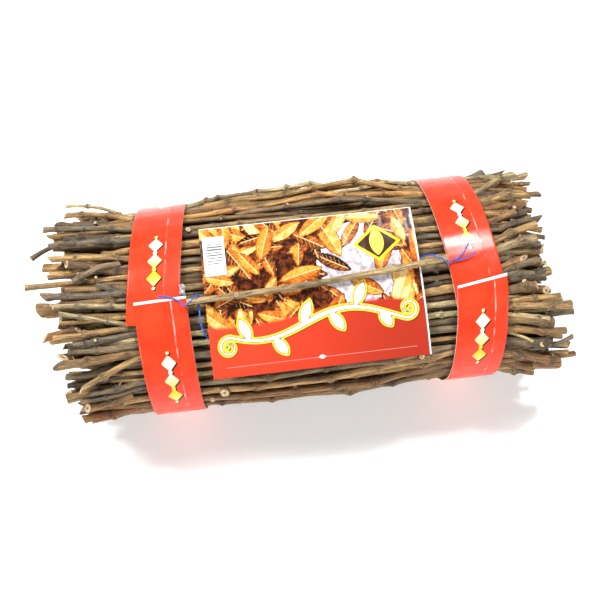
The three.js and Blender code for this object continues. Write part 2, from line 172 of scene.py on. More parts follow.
# Loose twigs over the ends, as they are seen from the card's side. Each row holds the tip and the other
# end, as distances along and across from the card's middle, the radius, the colour, how far the tip and
# the other end stand off the skin, and how much the tip thickens.
LOOSE_LEFT = (
    ((-216, 105), (-150, 88), 1.8, PALE, 13.0, -3.0, 0.0),
    ((-218, 95), (-150, 86), 2.9, TAN, 3.0, -4.0, 0.0),
    ((-242, 80), (-150, 76), 2.6, GREY, 3.0, -4.0, 0.3),
    ((-240, 64), (-150, 68), 3.0, GREY, 4.0, -4.0, 0.0),
    ((-258, 56), (-230, 70), 2.3, DARK, 1.0, -2.0, 0.2),
    ((-241, 52), (-150, 49), 2.9, TAN, 4.5, -4.0, 0.1),
    ((-224, 31), (-181, 45), 2.9, GREY_BROWN, 2.0, 5.5, 0.0),
    ((-201, 24), (-155, 11), 2.6, GREY, 4.5, -4.0, 0.0),
    ((-251, 19), (-150, 17), 3.2, GREY, 2.0, -4.5, 0.4),
    ((-256, 8), (-190, 10), 4.2, BROWN, 1.0, -6.0, 0.8),
    ((-245, 9), (-150, 1), 2.6, PALE, 6.0, -3.5, 0.0),
    ((-239, 2), (-155, -21), 2.3, PALE, 5.0, -3.5, 0.1),
    ((-240, -6), (-155, -6), 2.0, TAN, 0.5, -3.0, 0.0),
    ((-246, -19), (-150, -18), 2.6, TAN, 4.0, -3.5, 0.1),
    ((-256, -18), (-225, -13), 3.0, RED_BROWN, 0.0, -3.0, 0.2),
    ((-234, -28), (-150, -22), 2.8, GREY, 4.0, -4.0, 0.3),
    ((-235, -32), (-150, -35), 3.3, GREY_BROWN, 1.0, -4.5, 0.0),
    ((-244, -44), (-150, -43), 3.9, BROWN, 3.0, -5.0, 0.1),
    ((-226, -67), (-155, -43), 2.8, TAN, 5.5, -4.0, 0.0),
    ((-220, -73), (-150, -70), 2.8, GREY, 2.0, -4.0, 0.0),
    ((-227, -79), (-150, -75), 2.2, GREY_BROWN, 3.0, -3.5, 0.0),
    ((-222, -86), (-180, -82), 3.4, BROWN, 2.0, -4.0, 0.4),
    ((-226, -97), (-150, -95), 3.6, RED_BROWN, 1.0, -5.0, 0.2),
)
LOOSE_RIGHT = (
    ((180, 97), (140, 92), 3.7, GREY, 5.0, -5.0, 0.5),
    ((209, 87), (155, 74), 3.0, PALE, 6.0, -4.0, 0.2),
    ((223, 79), (195, 85), 2.2, BROWN, 2.0, -2.0, 0.0),
    ((213, 67), (155, 68), 4.2, TAN, 4.5, -5.0, 0.1),
    ((213, 59), (170, 61), 3.4, RED_BROWN, 1.0, -4.0, 0.1),
    ((203, 51), (160, 46), 3.3, BROWN, 4.0, -4.0, 0.2),
    ((224, 43), (185, 39), 3.2, DARK, 3.0, -3.0, 0.5),
    ((219, 37), (160, 24), 3.6, TAN, 5.0, -4.5, 0.1),
    ((218, 25), (165, 14), 4.2, PALE, 4.5, -5.0, 0.2),
    ((222, 19), (190, 26), 3.0, DARK, 2.0, -4.0, 0.3),
    ((204, 7), (165, -2), 3.0, OCHRE, 5.0, -4.0, 0.0),
    ((218, 4), (165, -10), 3.2, GREY_BROWN, 4.0, -4.0, 0.1),
    ((213, -9), (165, -7), 3.0, GREY, 3.0, -4.0, 0.0),
    ((222, -10), (190, -12), 3.5, DARK, 3.0, -4.0, 0.8),
    ((213, -19), (165, -29), 4.2, BROWN, 5.0, -5.0, 0.1),
    ((235, -32), (165, -37), 2.9, TAN, 4.0, -4.0, 0.2),
    ((245, -42), (165, -40), 3.5, TAN, 3.5, -4.5, 0.25),
    ((222, -51), (165, -44), 2.6, PALE, 5.0, -3.5, 0.0),
    ((226, -56), (165, -53), 4.0, BROWN, 3.0, -5.0, 0.1),
    ((204, -70), (165, -59), 1.6, PALE, 5.5, -2.0, 0.0),
    ((238, -65), (165, -62), 3.6, OCHRE, 2.0, -4.5, 0.0),
    ((244, -71), (205, -82), 2.1, GREY, 4.0, -3.0, 0.2),
    ((223, -75), (155, -72), 4.6, DARK, 1.0, -6.0, 0.2),
    ((229, -91), (155, -81), 4.4, BROWN, 2.5, -6.0, 0.3),
    ((202, -95), (150, -95), 3.9, BROWN, 1.5, -5.0, 0.1),
)
LOOSE_PLACES = 14
LOOSE_STEPS = (6.0, 6.0)

# Loose twigs behind: their number, turns from the top in degrees, where their tips lie and their length
LOOSE_HIDDEN = 20
LOOSE_TURNS = ((112, 142), (218, 288))
LOOSE_TIPS = (215, 243)
LOOSE_RUN = 75

# Bent twigs over the outer ones, between the bands. Each row holds the radius, the colour, the turns from
# the top towards the front at both ends, in degrees, and the bends, as distances along and across as above.
BENT_TWIGS = (
    (2.6, PALE, (-60, -60), ((-128, 86), (-112, 91), (-75, 95), (-38, 96), (-10, 97), (13, 99), (30, 94))),
    (2.9, TAN, (-56, -44), ((-89, 88), (-66, 90), (-13, 91), (15, 94), (53, 100), (96, 85), (126, 80))),
    (2.9, OCHRE, (-37, -37), ((-132, 84), (-63, 82), (-40, 82), (17, 88), (41, 84), (80, 82), (126, 77))),
    (2.7, GREY_BROWN, (-36, -28), ((-62, 78), (-14, 80), (36, 81), (61, 79), (109, 71), (126, 69))),
    (2.4, PALE, (-58, -58), ((29, 88), (61, 89), (85, 93), (107, 91), (126, 90))),
    (3.4, TAN, (76, 66), ((-128, -85), (-63, -86), (6, -86), (52, -81), (104, -79), (132, -75))),
    (3.2, BROWN, (84, 78),
     ((-128, -91), (-75, -94), (-27, -94), (10, -95), (48, -95), (82, -90), (130, -84))),
    (2.8, BROWN, (93, 86), ((-126, -94), (-96, -97), (-49, -99), (18, -98), (66, -98), (126, -88))),
    (2.6, GREY_BROWN, (69, 63), ((-126, -76), (-51, -79), (3, -77), (68, -76), (126, -73))),
)
BENT_HEIGHTS = (-5.0, 12.0)
# How much lighter the listed bent twigs are than their tints: painted light on twigs that lie on top
BENT_PAINTED_LIGHT = 1.2

# Bent twigs behind: their number, the places of their bends and their turns from the top, in degrees
BENT_HIDDEN = 12
BENT_PLACES = np.array([-128.0, -85.0, -40.0, 5.0, 50.0, 95.0, 130.0])
BENT_TURNS = (205, 300)

# Cut shoots on the outer twigs: distances along and across as above, height off the skin and radius
CUT_SHOOTS = (
    (-93, -86, 6.5, 4.8),
    (-106, -90, 7.5, 2.4),
    (94, -73, 9.0, 3.0),
    (-110, 69, 2.5, 2.6),
)
SHOOT_LENGTH = 7.0
SHOOT_LEAN = 1.2

# Card, in its own directions: u along the bundle and v up the card
CARD_WIDTH = 210.0
CARD_HEIGHT = 148.0
CARD_THICKNESS = 0.8
CARD_BEND = 300.0
CARD_GRID = (176, 125)
CARD_V = 3.3
CARD_FACING = math.radians(17.4)

# Print on the card, as places and sizes on it: leaves, a pale disc, a lozenge, a vine and a rule
LEAF_COUNT = 150
DISC_MIDDLE = np.array([48.0, 22.0])
DISC_RADIUS = 43.0
EMBLEM_MIDDLE = (66.0, 40.0)
VINE_HALF = 84
VINE_HEIGHT = -31
VINE_WAVE = 11
CURL_SIZE = 9.5
VINE_LEAVES = ((-66, 22, -9), (-44, -17, 12), (-16, 23, 10), (12, -19, 12), (36, 24, 12), (60, -16, 10))
RULE_BELOW = 64.0

# Sticker: its size and its middle on the card
STICKER_WIDTH = 21.0
STICKER_HEIGHT = 40.0
STICKER_U = -92.0
STICKER_V = 47.3
STICKER_THICKNESS = 0.3
STICKER_GRID = (22, 40)
BAR_PITCH = 2.75

# Scrap of film: distances along and across from the card's middle, height off the skin, and thickness
FILM_PLACE = (-125.2, 11.5, 5.0)
FILM_THICKNESS = 0.12

# Camera: its angles, its distance and shifts in metres, and its focal length in the photo's pixels
CAMERA_AZIMUTH = math.radians(-7.2)
CAMERA_ELEVATION = math.radians(64.0)
CAMERA_DISTANCE = 0.844
CAMERA_ASIDE = -0.0091
CAMERA_UP = -0.0091
FOCAL_PIXELS = 786.0
PHOTO_PIXELS = 600.0
SENSOR = 36.0

# How the camera sees the skin: the way to the card, and how far up the look and the card are shifted
CARD_AWAY = 747.0
LOOK_SHIFT = 9.0
CARD_SHIFT = 10.5

# Lights: place, aim and size in metres, and power in watts
LIGHTS = {
    "key_right": ((0.62, 0.60, 1.75), (0.02, 0.0, 0.10), (0.30, 0.26), 24.0),
    "key_left": ((-1.0, 0.66, 1.65), (0.0, 0.0, 0.10), (0.7, 0.6), 38.0),
    "front_left": ((-1.9, -1.7, 1.2), (0.0, 0.0, 0.08), (1.0, 0.7), 37.0),
    "front_right": ((2.0, -1.6, 1.2), (0.0, 0.0, 0.08), (1.0, 0.7), 30.0),
}

# The room's light: the steepness of the look at which its fading starts and ends, and its strength at both
ROOM_FADE = (0.0, 0.42, 0.95, 0.13)
FLOOR_WHITE = (0.95, 0.95, 0.95)
FLOOR_GLOW = 0.2
FLOOR_REACH = 4

rng = np.random.default_rng(7)


# Meshes from arrays
class Mass:
    """Collects tubes and caps as arrays, to be made into one mesh."""

    def __init__(self):
        self.points = []
        self.faces = []
        self.cut = []
        self.values = {"grain": [], "tint": [], "knot": [], "girth": []}
        self.count = 0

    def add(self, points, faces, cut, grain, tint, knot, girth):
        """Adds faces of bark, or of cut wood if cut is 1, and the values of their points."""
        total = len(points)
        self.points.append(points)
        self.faces.extend((np.asarray(part) + self.count).tolist() for part in faces)
        self.cut.extend([cut] * sum(len(part) for part in faces))
        self.values["grain"].append(grain)
        self.values["tint"].append(np.broadcast_to(tint, (total, 3)))
        self.values["knot"].append(np.broadcast_to(knot, (total,)))
        self.values["girth"].append(np.broadcast_to(girth, (total,)))
        self.count += total

    def make(self, name):
        """One piece of bark and cut wood, with nothing below the floor."""
        faces = [face for part in self.faces for face in part]
        points = np.concatenate(self.points)
        points[:, 2] = np.maximum(points[:, 2], 0.0)
        cut = np.array(self.cut)
        values = {key: np.concatenate(parts) for key, parts in self.values.items()}
        return make_piece(name, points, faces, cut, cut == 0, values, (BARK, CUT_WOOD))


def make_piece(name, points, faces, kinds, smooth, values, materials):
    """A piece with the number of a material for each face and values for each point."""
    mesh = bpy.data.meshes.new(name)
    mesh.from_pydata((points * MM).tolist(), [], faces)
    mesh.polygons.foreach_set("material_index", kinds.astype(np.int32))
    mesh.polygons.foreach_set("use_smooth", smooth)
    for key, data in values.items():
        kind, field = ("FLOAT_VECTOR", "vector") if data.ndim == 2 else ("FLOAT", "value")
        layer = mesh.attributes.new(key, kind, "POINT")
        layer.data.foreach_set(field, data.astype(np.float32).ravel())
    for material in materials:
        mesh.materials.append(material)
    mesh.update()
    return link(name, mesh)


def link(name, data):
    """A new object of the scene with such data."""
    piece = bpy.data.objects.new(name, data)
    bpy.context.scene.collection.objects.link(piece)
    return piece


def wrapped_quads(rings, sides):
    """Faces of a tube whose rings of points follow each other."""
    ring = np.arange(rings - 1)[:, None] * sides
    here = np.arange(sides)[None, :]
    there = (here + 1) % sides
    return np.stack([ring + here, ring + sides + here, ring + sides + there, ring + there], -1).reshape(-1, 4)


def ring_angles(sides):
    return FULL_TURN * np.arange(sides) / sides


def cross_directions(along):
    """Two unit vectors across each direction, the second as upright as it can be."""
    flat = np.abs(along[:, 2]) < 0.9
    reference = np.where(flat[:, None], [0.0, 0.0, 1.0], [1.0, 0.0, 0.0])
    side = np.cross(reference, along)
    side /= np.linalg.norm(side, axis=1, keepdims=True)
    return side, np.cross(along, side)


# Paths of points
def path_marks(path):
    """Distances along a path, from its start to each point."""
    return np.concatenate([[0.0], np.cumsum(np.linalg.norm(np.diff(path, axis=0), axis=1))])


def path_length(path):
    return float(np.linalg.norm(np.diff(path, axis=0), axis=1).sum())


def at_places(x, path, columns):
    """The coordinates in such columns of a path that runs along the bundle, at places along it."""
    return np.stack([np.interp(x, path[:, 0], path[:, k]) for k in columns], -1)


# Twigs
def smooth_wave(places, size, wavelength):
    """A gentle random wave along a twig."""
    phases = rng.uniform(0, FULL_TURN, 3)
    waves = [np.sin(FULL_TURN * places / (wavelength * k) + p) for k, p in zip((1.0, 0.53, 0.31), phases)]
    return size * (waves[0] + 0.6 * waves[1] + 0.35 * waves[2]) / 1.6


def ring_places(length, knuckles, steps, offsets):
    """Distances along a twig where it has a ring of points: close together at the knuckles."""
    coarse = [0.0, 0.5, length - 0.5, length]
    at = 0.0
    while at < length:
        at += steps[0] if min(at, length - at) < END_ZONE else steps[1]
        coarse.append(at)
    near = (np.asarray(knuckles)[:, None] + offsets[None, :]).ravel()
    places = np.sort(np.concatenate([coarse, near]))
    places = places[(places >= 0.0) & (places <= length)]
    keep = [0.0]
    for value in places[1:]:
        if value - keep[-1] >= RING_APART:
            keep.append(value)
    keep[-1] = length
    return np.array(keep)


def add_cap(mass, ring, centre, outward, radius, offset, tint, hollow):
    """A cut end: flat wood with a shallow hole where the pith was."""
    sides = len(ring)
    inner = centre + (ring - centre) * PITH_SHARE
    middle = centre - outward * hollow * radius
    points = np.concatenate([ring, inner, middle[None]])
    around = np.arange(sides)
    following = (around + 1) % sides
    quads = np.stack([around, following, following + sides, around + sides], -1)
    fan = np.stack([around + sides, following + sides, np.full(sides, 2 * sides)], -1)
    if np.dot(np.cross(ring[1] - ring[0], centre - ring[0]), outward) < 0:
        quads = quads[:, ::-1]
        fan = fan[:, ::-1]
    angle = ring_angles(sides)
    rim = np.stack([np.cos(angle), np.sin(angle), np.zeros(sides)], -1)
    grain = np.concatenate([rim * radius, rim * PITH_SHARE * radius, np.zeros((1, 3))]) + [0, 0, offset]
    mass.add(points, [quads, fan], 1, grain, tint, 0.0, radius)


def shoot_rings(foot, direction, steps, widths, sides):
    """The angles of a ring's points, the rings of a straight shoot and their places in the grain."""
    side, up = cross_directions(direction[None])
    angle = ring_angles(sides)
    rim = np.cos(angle)[:, None] * side + np.sin(angle)[:, None] * up
    rings = []
    grain = []
    for step, width in zip(steps, widths):
        rings.append(foot + direction * step + rim * width)
        grain.append(np.c_[np.cos(angle) * width, np.sin(angle) * width, np.full(sides, step)])
    return angle, rings, np.concatenate(grain)


def add_stub(mass, foot, direction, radius, length, tint, sides=8):
    """A side shoot that was cut off."""
    direction = direction / np.linalg.norm(direction)
    steps = np.array([0.0, 0.45, 0.85, 1.0]) * length
    widths = radius * np.array([1.25, 1.0, 1.06, 0.98])
    angle, rings, grain = shoot_rings(foot, direction, steps, widths, sides)
    slope = rng.uniform(-0.35, 0.35) * np.cos(angle + rng.uniform(0, 6))
    rings[-1] += slope[:, None] * direction * widths[-1]
    knot = np.repeat([1.0, 0.8, 0.5, 0.3], sides)
    mass.add(np.concatenate(rings), [wrapped_quads(4, sides)], 0, grain, tint, knot, radius)
    tip = foot + direction * length
    add_cap(mass, rings[-1], tip, direction, radius, rng.uniform(0, 500), tint, 0.0)


def add_bud(mass, foot, direction, radius, tint, sides=7):
    """A closed, pointed bud."""
    direction = direction / np.linalg.norm(direction)
    steps = radius * np.array([0.0, 0.9, 1.7, 2.2])
    widths = radius * np.array([1.1, 1.0, 0.6, 0.12])
    _, rings, grain = shoot_rings(foot, direction, steps, widths, sides)
    mass.add(np.concatenate(rings), [wrapped_quads(4, sides)], 0, grain, tint * 0.8, 0.8, radius)


def add_twig(mass, path, radius, knuckles, cuts, tint, sides=12, steps=(9.0, 12.0),
             offsets=KNUCKLE_OFFSETS, spur=None, butts=(0, 0)):
    """One twig along a path of points. cuts gives the slant of each end, butts how much each end thickens,
    spur the tip of a long side shoot. Its rings of points lie at steps, and at offsets from each knuckle."""
    marks = path_marks(path)
    length = marks[-1]
    places = ring_places(length, knuckles, steps, offsets)
    centre = np.stack([np.interp(places, marks, path[:, k]) for k in range(3)], -1)
    along = np.gradient(centre, axis=0)
    along /= np.linalg.norm(along, axis=1, keepdims=True)
    side, up = cross_directions(along)

    taper = rng.uniform(-TAPER, TAPER)
    width = radius * (1 + taper * (places / length - 0.5)) * (1 + smooth_wave(places, 0.035, 70))
    for butt, from_end in zip(butts, (places, length - places)):
        width = width * (1 + butt * np.exp(-((from_end / (2.2 * radius)) ** 2)))
    near = np.zeros(len(places))
    swelling = np.zeros(len(places))
    turn = rng.uniform(0, FULL_TURN)
    twist = rng.uniform(-0.006, 0.006)
    angle = ring_angles(sides)
    lump = np.zeros((len(places), sides))
    bend = rng.uniform(*KNUCKLE_BENDS) * radius
    free = np.where([covered(point) for point in centre], COVERED_SHARE, 1.0)
    aside = np.zeros(len(places))
    for order, knuckle in enumerate(knuckles):
        apart = (places - knuckle) / radius
        near = np.maximum(near, np.exp(-np.abs(apart) / 1.5))
        shape = np.exp(-np.where(apart < 0, np.abs(apart) / 0.75, np.abs(apart) / 1.15) ** 1.6)
        size = rng.uniform(*KNUCKLE_SIZES)
        shape = shape * free
        swelling += size * shape
        facing = turn + (order % 2) * math.pi
        lump += (size * 1.1 * shape)[:, None] * np.clip(np.cos(angle - facing), 0, 1)[None, :] ** 2
        aside += (1 if order % 2 else -1) * bend * free * np.exp(-np.abs(apart) / 5.0)
    centre = centre + aside[:, None] * (np.cos(turn) * side + np.sin(turn) * up)

    ridge = 0.03 * np.cos(5 * angle[None, :] + turn + twist * 5 * places[:, None])
    ridge += 0.02 * np.cos(3 * angle[None, :] - 2 * turn - twist * 9 * places[:, None])
    reach = width[:, None] * (1 + swelling[:, None] + lump + ridge)
    rim = np.cos(angle)[None, :, None] * side[:, None] + np.sin(angle)[None, :, None] * up[:, None]
    points = centre[:, None] + rim * reach[:, :, None]
    for end, slant in ((0, cuts[0]), (-1, cuts[1])):
        slide = slant[0] * np.cos(angle) + slant[1] * np.sin(angle)
        fade = np.clip(1 - np.abs(places - places[end]) / (3.0 * radius), 0, 1)
        points += (fade[:, None] * slide[None, :] * width[end])[:, :, None] * along[:, None]

    offset = rng.uniform(0, 4000)
    lengthways = np.broadcast_to(places[:, None] + offset, reach.shape)
    grain = np.stack([np.cos(angle) * reach, np.sin(angle) * reach, lengthways], -1)
    mass.add(
        points.reshape(-1, 3),
        [wrapped_quads(len(places), sides)],
        0,
        grain.reshape(-1, 3),
        tint,
        np.repeat(near, sides),
        np.repeat(width, sides),
    )
    for end, sign in ((0, -1), (-1, 1)):
        middle = points[end].mean(0)
        add_cap(mass, points[end], middle, sign * along[end], width[end], offset + end, tint, 0.12)
    add_side_growth(mass, places, centre, along, side, up, width, swelling, knuckles, turn, tint)
    if spur is not None:
        at = int(np.argmin(np.linalg.norm(centre - spur, axis=1)))
        way = spur - centre[at]
        add_stub(mass, centre[at], way, 0.5 * radius, float(np.linalg.norm(way)), tint)


def add_side_growth(mass, places, centre, along, side, up, width, swelling, knuckles, turn, tint):
    """A bud or a cut stub at most knuckles, on alternate sides."""
    for order, knuckle in enumerate(knuckles):
        at = int(np.argmin(np.abs(places - knuckle)))
        facing = turn + (order % 2) * math.pi
        out = math.cos(facing) * side[at] + math.sin(facing) * up[at]
        radius = width[at]
        kind = rng.uniform()
        lean = out + rng.uniform(0.1, 0.8) * along[at]
        foot = centre[at] + out * radius * 0.5
        if covered(centre[at]):
            continue
        if kind < STUB_CHANCE:
            length = radius * (0.5 + swelling[at]) + rng.uniform(0.4, 2.4)
            add_stub(mass, foot, lean, radius * rng.uniform(0.36, 0.55), length, tint)
        elif kind < GROWTH_CHANCE:
            add_bud(mass, foot + out * radius * 0.45, lean, radius * rng.uniform(0.28, 0.4), tint)


def covered(point):
    """Whether a point of the outer layer lies close under a band or the card."""
    for name in BAND_NAMES:
        low, high = BOXES[name]
        if low[0] - BAND_NEAR < point[0] < high[0] + BAND_NEAR:
            return True
    low, high = BOXES["label_card"]
    inside = all(low[k] - CARD_NEAR < point[k] < high[k] + CARD_NEAR for k in (0, 1))
    return inside and point[2] > low[2] - CARD_UNDER


def smooth_step(value, low, high):
    """0 up to low, 1 from high on, and an even change between them."""
    share = np.clip((value - low) / (high - low), 0, 1)
    return share * share * (3 - 2 * share)


def past_bands(x):
    """How far past the left and the right band places along the bundle lie, from 0 to 1."""
    return smooth_step(-x, LEFT_END, LEFT_END + END_RUN), smooth_step(x, RIGHT_END, RIGHT_END + END_RUN)


def wander(path, size, slant=0.0, settle=0.0):
    """Turns a twig's ends a little aside, past the bands, and lets the right end of the bundle sink.
    slant is how far the ends lean along the skin, settle how far they lie in from it."""
    path = path.copy()
    out = np.stack([(path[:, 1] - MIDDLE_Y) / HALF_WIDTH**2, (path[:, 2] - CENTRE_Z) / HALF_HEIGHT**2], -1)
    out /= np.maximum(np.linalg.norm(out, axis=1, keepdims=True), 1e-9)
    around = np.stack([-out[:, 1], out[:, 0]], -1)
    above = np.clip(path[:, 2] / SINK_HEIGHT, 0, 1)
    past_left, past_right = past_bands(path[:, 0])
    for past in (past_left, past_right):
        path[:, 1:] += past[:, None] * rng.normal(0, size, 2)[None, :]
        path[:, 1:] += past[:, None] * (rng.normal(0, 1) * slant * above[:, None] * around - settle * out)
    path[:, 1] -= END_SINK[0] * past_right
    path[:, 2] -= END_SINK[1] * past_right * above
    if slant:
        share = np.clip((path[:, 0] - MIDDLE_SPAN[0]) / (MIDDLE_SPAN[1] - MIDDLE_SPAN[0]), 0, 1)
        stray = MIDDLE_STRAY[0] * rng.normal(0, 1) * around - MIDDLE_STRAY[1] * abs(rng.normal(0, 1)) * out
        path[:, 1:] += (np.sin(math.pi * share) ** 2 * above)[:, None] * stray
    return path


def random_tint(tints=BARK_TINTS):
    return varied(tints[rng.integers(len(tints))])


def varied(tint):
    """A tint a little lighter or darker, and a little off in its colour."""
    return np.array(tint) * rng.uniform(0.85, 1.15) * (1 + rng.uniform(-0.04, 0.04, 3))


def random_cut():
    """How an end was cut: mostly near square, now and then a long slant."""
    size = rng.uniform(0.0, 0.5) if rng.uniform() < 0.75 else rng.uniform(0.8, 1.7)
    turn = rng.uniform(0, FULL_TURN)
    return size * math.cos(turn), size * math.sin(turn)


def random_butt():
    """How much an end thickens: most don't."""
    return rng.uniform(0.1, 0.4) if rng.uniform() < 0.4 else 0.0


def random_knuckles(length):
    knuckles = []
    at = rng.uniform(10.0, 60.0)
    while at < length - 8:
        knuckles.append(at)
        at += rng.uniform(*KNUCKLE_EVERY)
    return np.array(knuckles)


def solid_points(name):
    """A solid's different corner points, in millimetres."""
    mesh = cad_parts[name].data
    flat = np.empty(3 * len(mesh.vertices), dtype=np.float32)
    mesh.vertices.foreach_get("co", flat)
    return np.unique(np.round(flat.reshape(-1, 3).astype(float) / MM, 3), axis=0)


def read_twig(name):
    """A solid twig's middle line, radius, knuckles and the tip of its side shoot, if it has one."""
    points = solid_points(name)
    x = points[:, 0]
    left, right = x.min() + SOLID_END, x.max() - SOLID_END
    ends = [points[x < left], points[x > right]]
    inside = points[(x >= left) & (x <= right)]
    values, owner, counts = np.unique(np.round(inside[:, 0], 2), return_inverse=True, return_counts=True)
    rings = []
    for k in np.flatnonzero(counts >= 5):
        ring = inside[owner == k, 1:]
        system = np.c_[ring, np.ones(len(ring))]
        middle = np.linalg.lstsq(system, (ring**2).sum(1), rcond=None)[0][:2] / 2
        rings.append((values[k], *middle, np.linalg.norm(ring - middle, axis=1).mean()))
    rings = np.array(rings)
    path = np.concatenate([ends[0].mean(0)[None], rings[:, :3], ends[1].mean(0)[None]])
    radius = float(rings[:, 3].min() / KNUCKLE_NECK)
    knuckles = rings[rings[:, 3] > 1.1 * radius, 0] - path[0, 0]
    middle = at_places(inside[:, 0], path, (1, 2))
    away = np.linalg.norm(inside[:, 1:] - middle, axis=1)
    far = away > 1.5 * radius
    spur = inside[away > away.max() - 1.2].mean(0) if far.any() else None
    return {"path": path, "radius": radius, "knuckles": knuckles, "spur": spur}


def smooth_path(path, spacing=6.0, spread=14.0):
    """Points closely along a path, with its corners rounded."""
    x = np.linspace(path[0, 0], path[-1, 0], int((path[-1, 0] - path[0, 0]) / spacing))
    fine = at_places(x, path, range(3))
    weights = np.exp(-(((x[:, None] - x[None, :]) / spread) ** 2))
    weights /= weights.sum(1, keepdims=True)
    soft = weights @ fine
    soft[:, 0] = x
    soft[[0, -1]] = fine[[0, -1]]
    return soft


def more_knuckles(knuckles, length):
    """The solid's knuckles, with others between those that lie far apart."""
    marks = np.concatenate([[-KNUCKLE_PAST], knuckles, [length + KNUCKLE_PAST]])
    extra = []
    for low, high in zip(marks[:-1], marks[1:]):
        parts = int((high - low) // KNUCKLE_GAP)
        extra += [low + (high - low) * (k + rng.uniform(-0.12, 0.12)) / parts for k in range(1, parts)]
    found = np.sort(np.concatenate([knuckles, extra]))
    return found[(found > KNUCKLE_IN) & (found < length - KNUCKLE_IN)]


OUTER_NAMES = sorted(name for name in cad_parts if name.startswith("twig_"))
OUTER = {name: read_twig(name) for name in OUTER_NAMES}


# Inner twigs, settled between the outer ones
def oval_share(points, grow):
    """The share of the oval, grown by so much, that points of the section lie at."""
    across = (points[..., 0] - MIDDLE_Y) / (HALF_WIDTH + grow)
    return np.hypot(across, (points[..., 1] - CENTRE_Z) / (HALF_HEIGHT + grow))


def outside_allowed(x):
    """How far past the oval a twig may lie: not at all near a band."""
    for name in BAND_NAMES:
        low, high = BOXES[name]
        if low[0] - BAND_CLEAR < x < high[0] + BAND_CLEAR:
            return 0.0
    return BULGE if abs(x) < BULGE_SPAN else FLARE


def close_pairs(places, reach):
    """The first and the second of each pair of places within such a reach."""
    apart = np.linalg.norm(places[:, None] - places[None, :], axis=-1)
    return np.nonzero(np.triu(apart < reach, 1))


def settle_inner():
    """Places of the inner twigs at each station, and their radii."""
    fixed = np.stack([at_places(STATIONS, twig["path"], (1, 2)) for twig in OUTER.values()])
    fixed_radius = np.array([twig["radius"] for twig in OUTER.values()])
    radius = rng.uniform(*INNER_RADII, INNER_COUNT)
    share = np.sqrt(rng.uniform(0, 1, INNER_COUNT)) * START_SHARE
    turn = rng.uniform(0, FULL_TURN, INNER_COUNT)
    across = MIDDLE_Y + HALF_WIDTH * share * np.cos(turn)
    start = np.stack([across, CENTRE_Z + HALF_HEIGHT * share * np.sin(turn)], -1)
    lean = rng.normal(0, INNER_LEAN, (INNER_COUNT, 2))
    free = start[:, None] + lean[:, None] * (STATIONS / STATIONS[-1])[None, :, None]
    places = np.concatenate([free, fixed])
    room = np.concatenate([radius, fixed_radius]) * ROOM_SHARE
    moves = np.concatenate([np.ones(INNER_COUNT), np.zeros(len(fixed))])
    pairs = [None] * len(STATIONS)
    centre = np.array([MIDDLE_Y, CENTRE_Z])
    for step in range(SETTLE_STEPS):
        for k, x in enumerate(STATIONS):
            if step % PAIRS_EVERY == 0:
                pairs[k] = close_pairs(places[:, k], PAIRS_WITHIN)
            first, second = pairs[k]
            apart = places[second, k] - places[first, k]
            distance = np.maximum(np.linalg.norm(apart, axis=1), 1e-6)
            short = np.clip(room[first] + room[second] - distance, 0, None)
            weight = np.maximum(moves[first] + moves[second], 1)
            push = SETTLE_PUSH * apart * (short / distance / weight)[:, None]
            np.add.at(places[:, k], first, -push * moves[first][:, None])
            np.add.at(places[:, k], second, push * moves[second][:, None])
            inner = places[:INNER_COUNT, k]
            outside = oval_share(inner, outside_allowed(x) - INNER_DEPTH - radius)
            pull = np.where(outside > 1, 1 / np.maximum(outside, 1e-6), 1.0)[:, None]
            inner[:] = centre + (inner - centre) * pull
            inner[:, 1] = np.maximum(inner[:, 1], ROOM_FLOOR + radius + FLOOR_GAP)
        if step < STRAIGHTEN_STEPS:
            line = places[:INNER_COUNT]
            middle = (line[:, :-2] + line[:, 2:]) / 2
            line[:, 1:-1] += STRAIGHTEN_SHARE * (middle - line[:, 1:-1])
    return places[:INNER_COUNT], radius


def packed_reach():
    """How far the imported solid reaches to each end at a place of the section."""
    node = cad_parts["packed_twigs"]
    tree = BVHTree.FromPolygons(
        [v.co / MM for v in node.data.vertices], [tuple(p.vertices) for p in node.data.polygons]
    )

    def reach(y, z, sign):
        hit = tree.ray_cast(Vector((sign * RAY_START, y, z)), Vector((-sign, 0.0, 0.0)))[0]
        if hit is None:
            return sign * rng.uniform(*INNER_REACH)
        return hit.x - sign * abs(rng.normal(0, INNER_SHORT))

    return reach


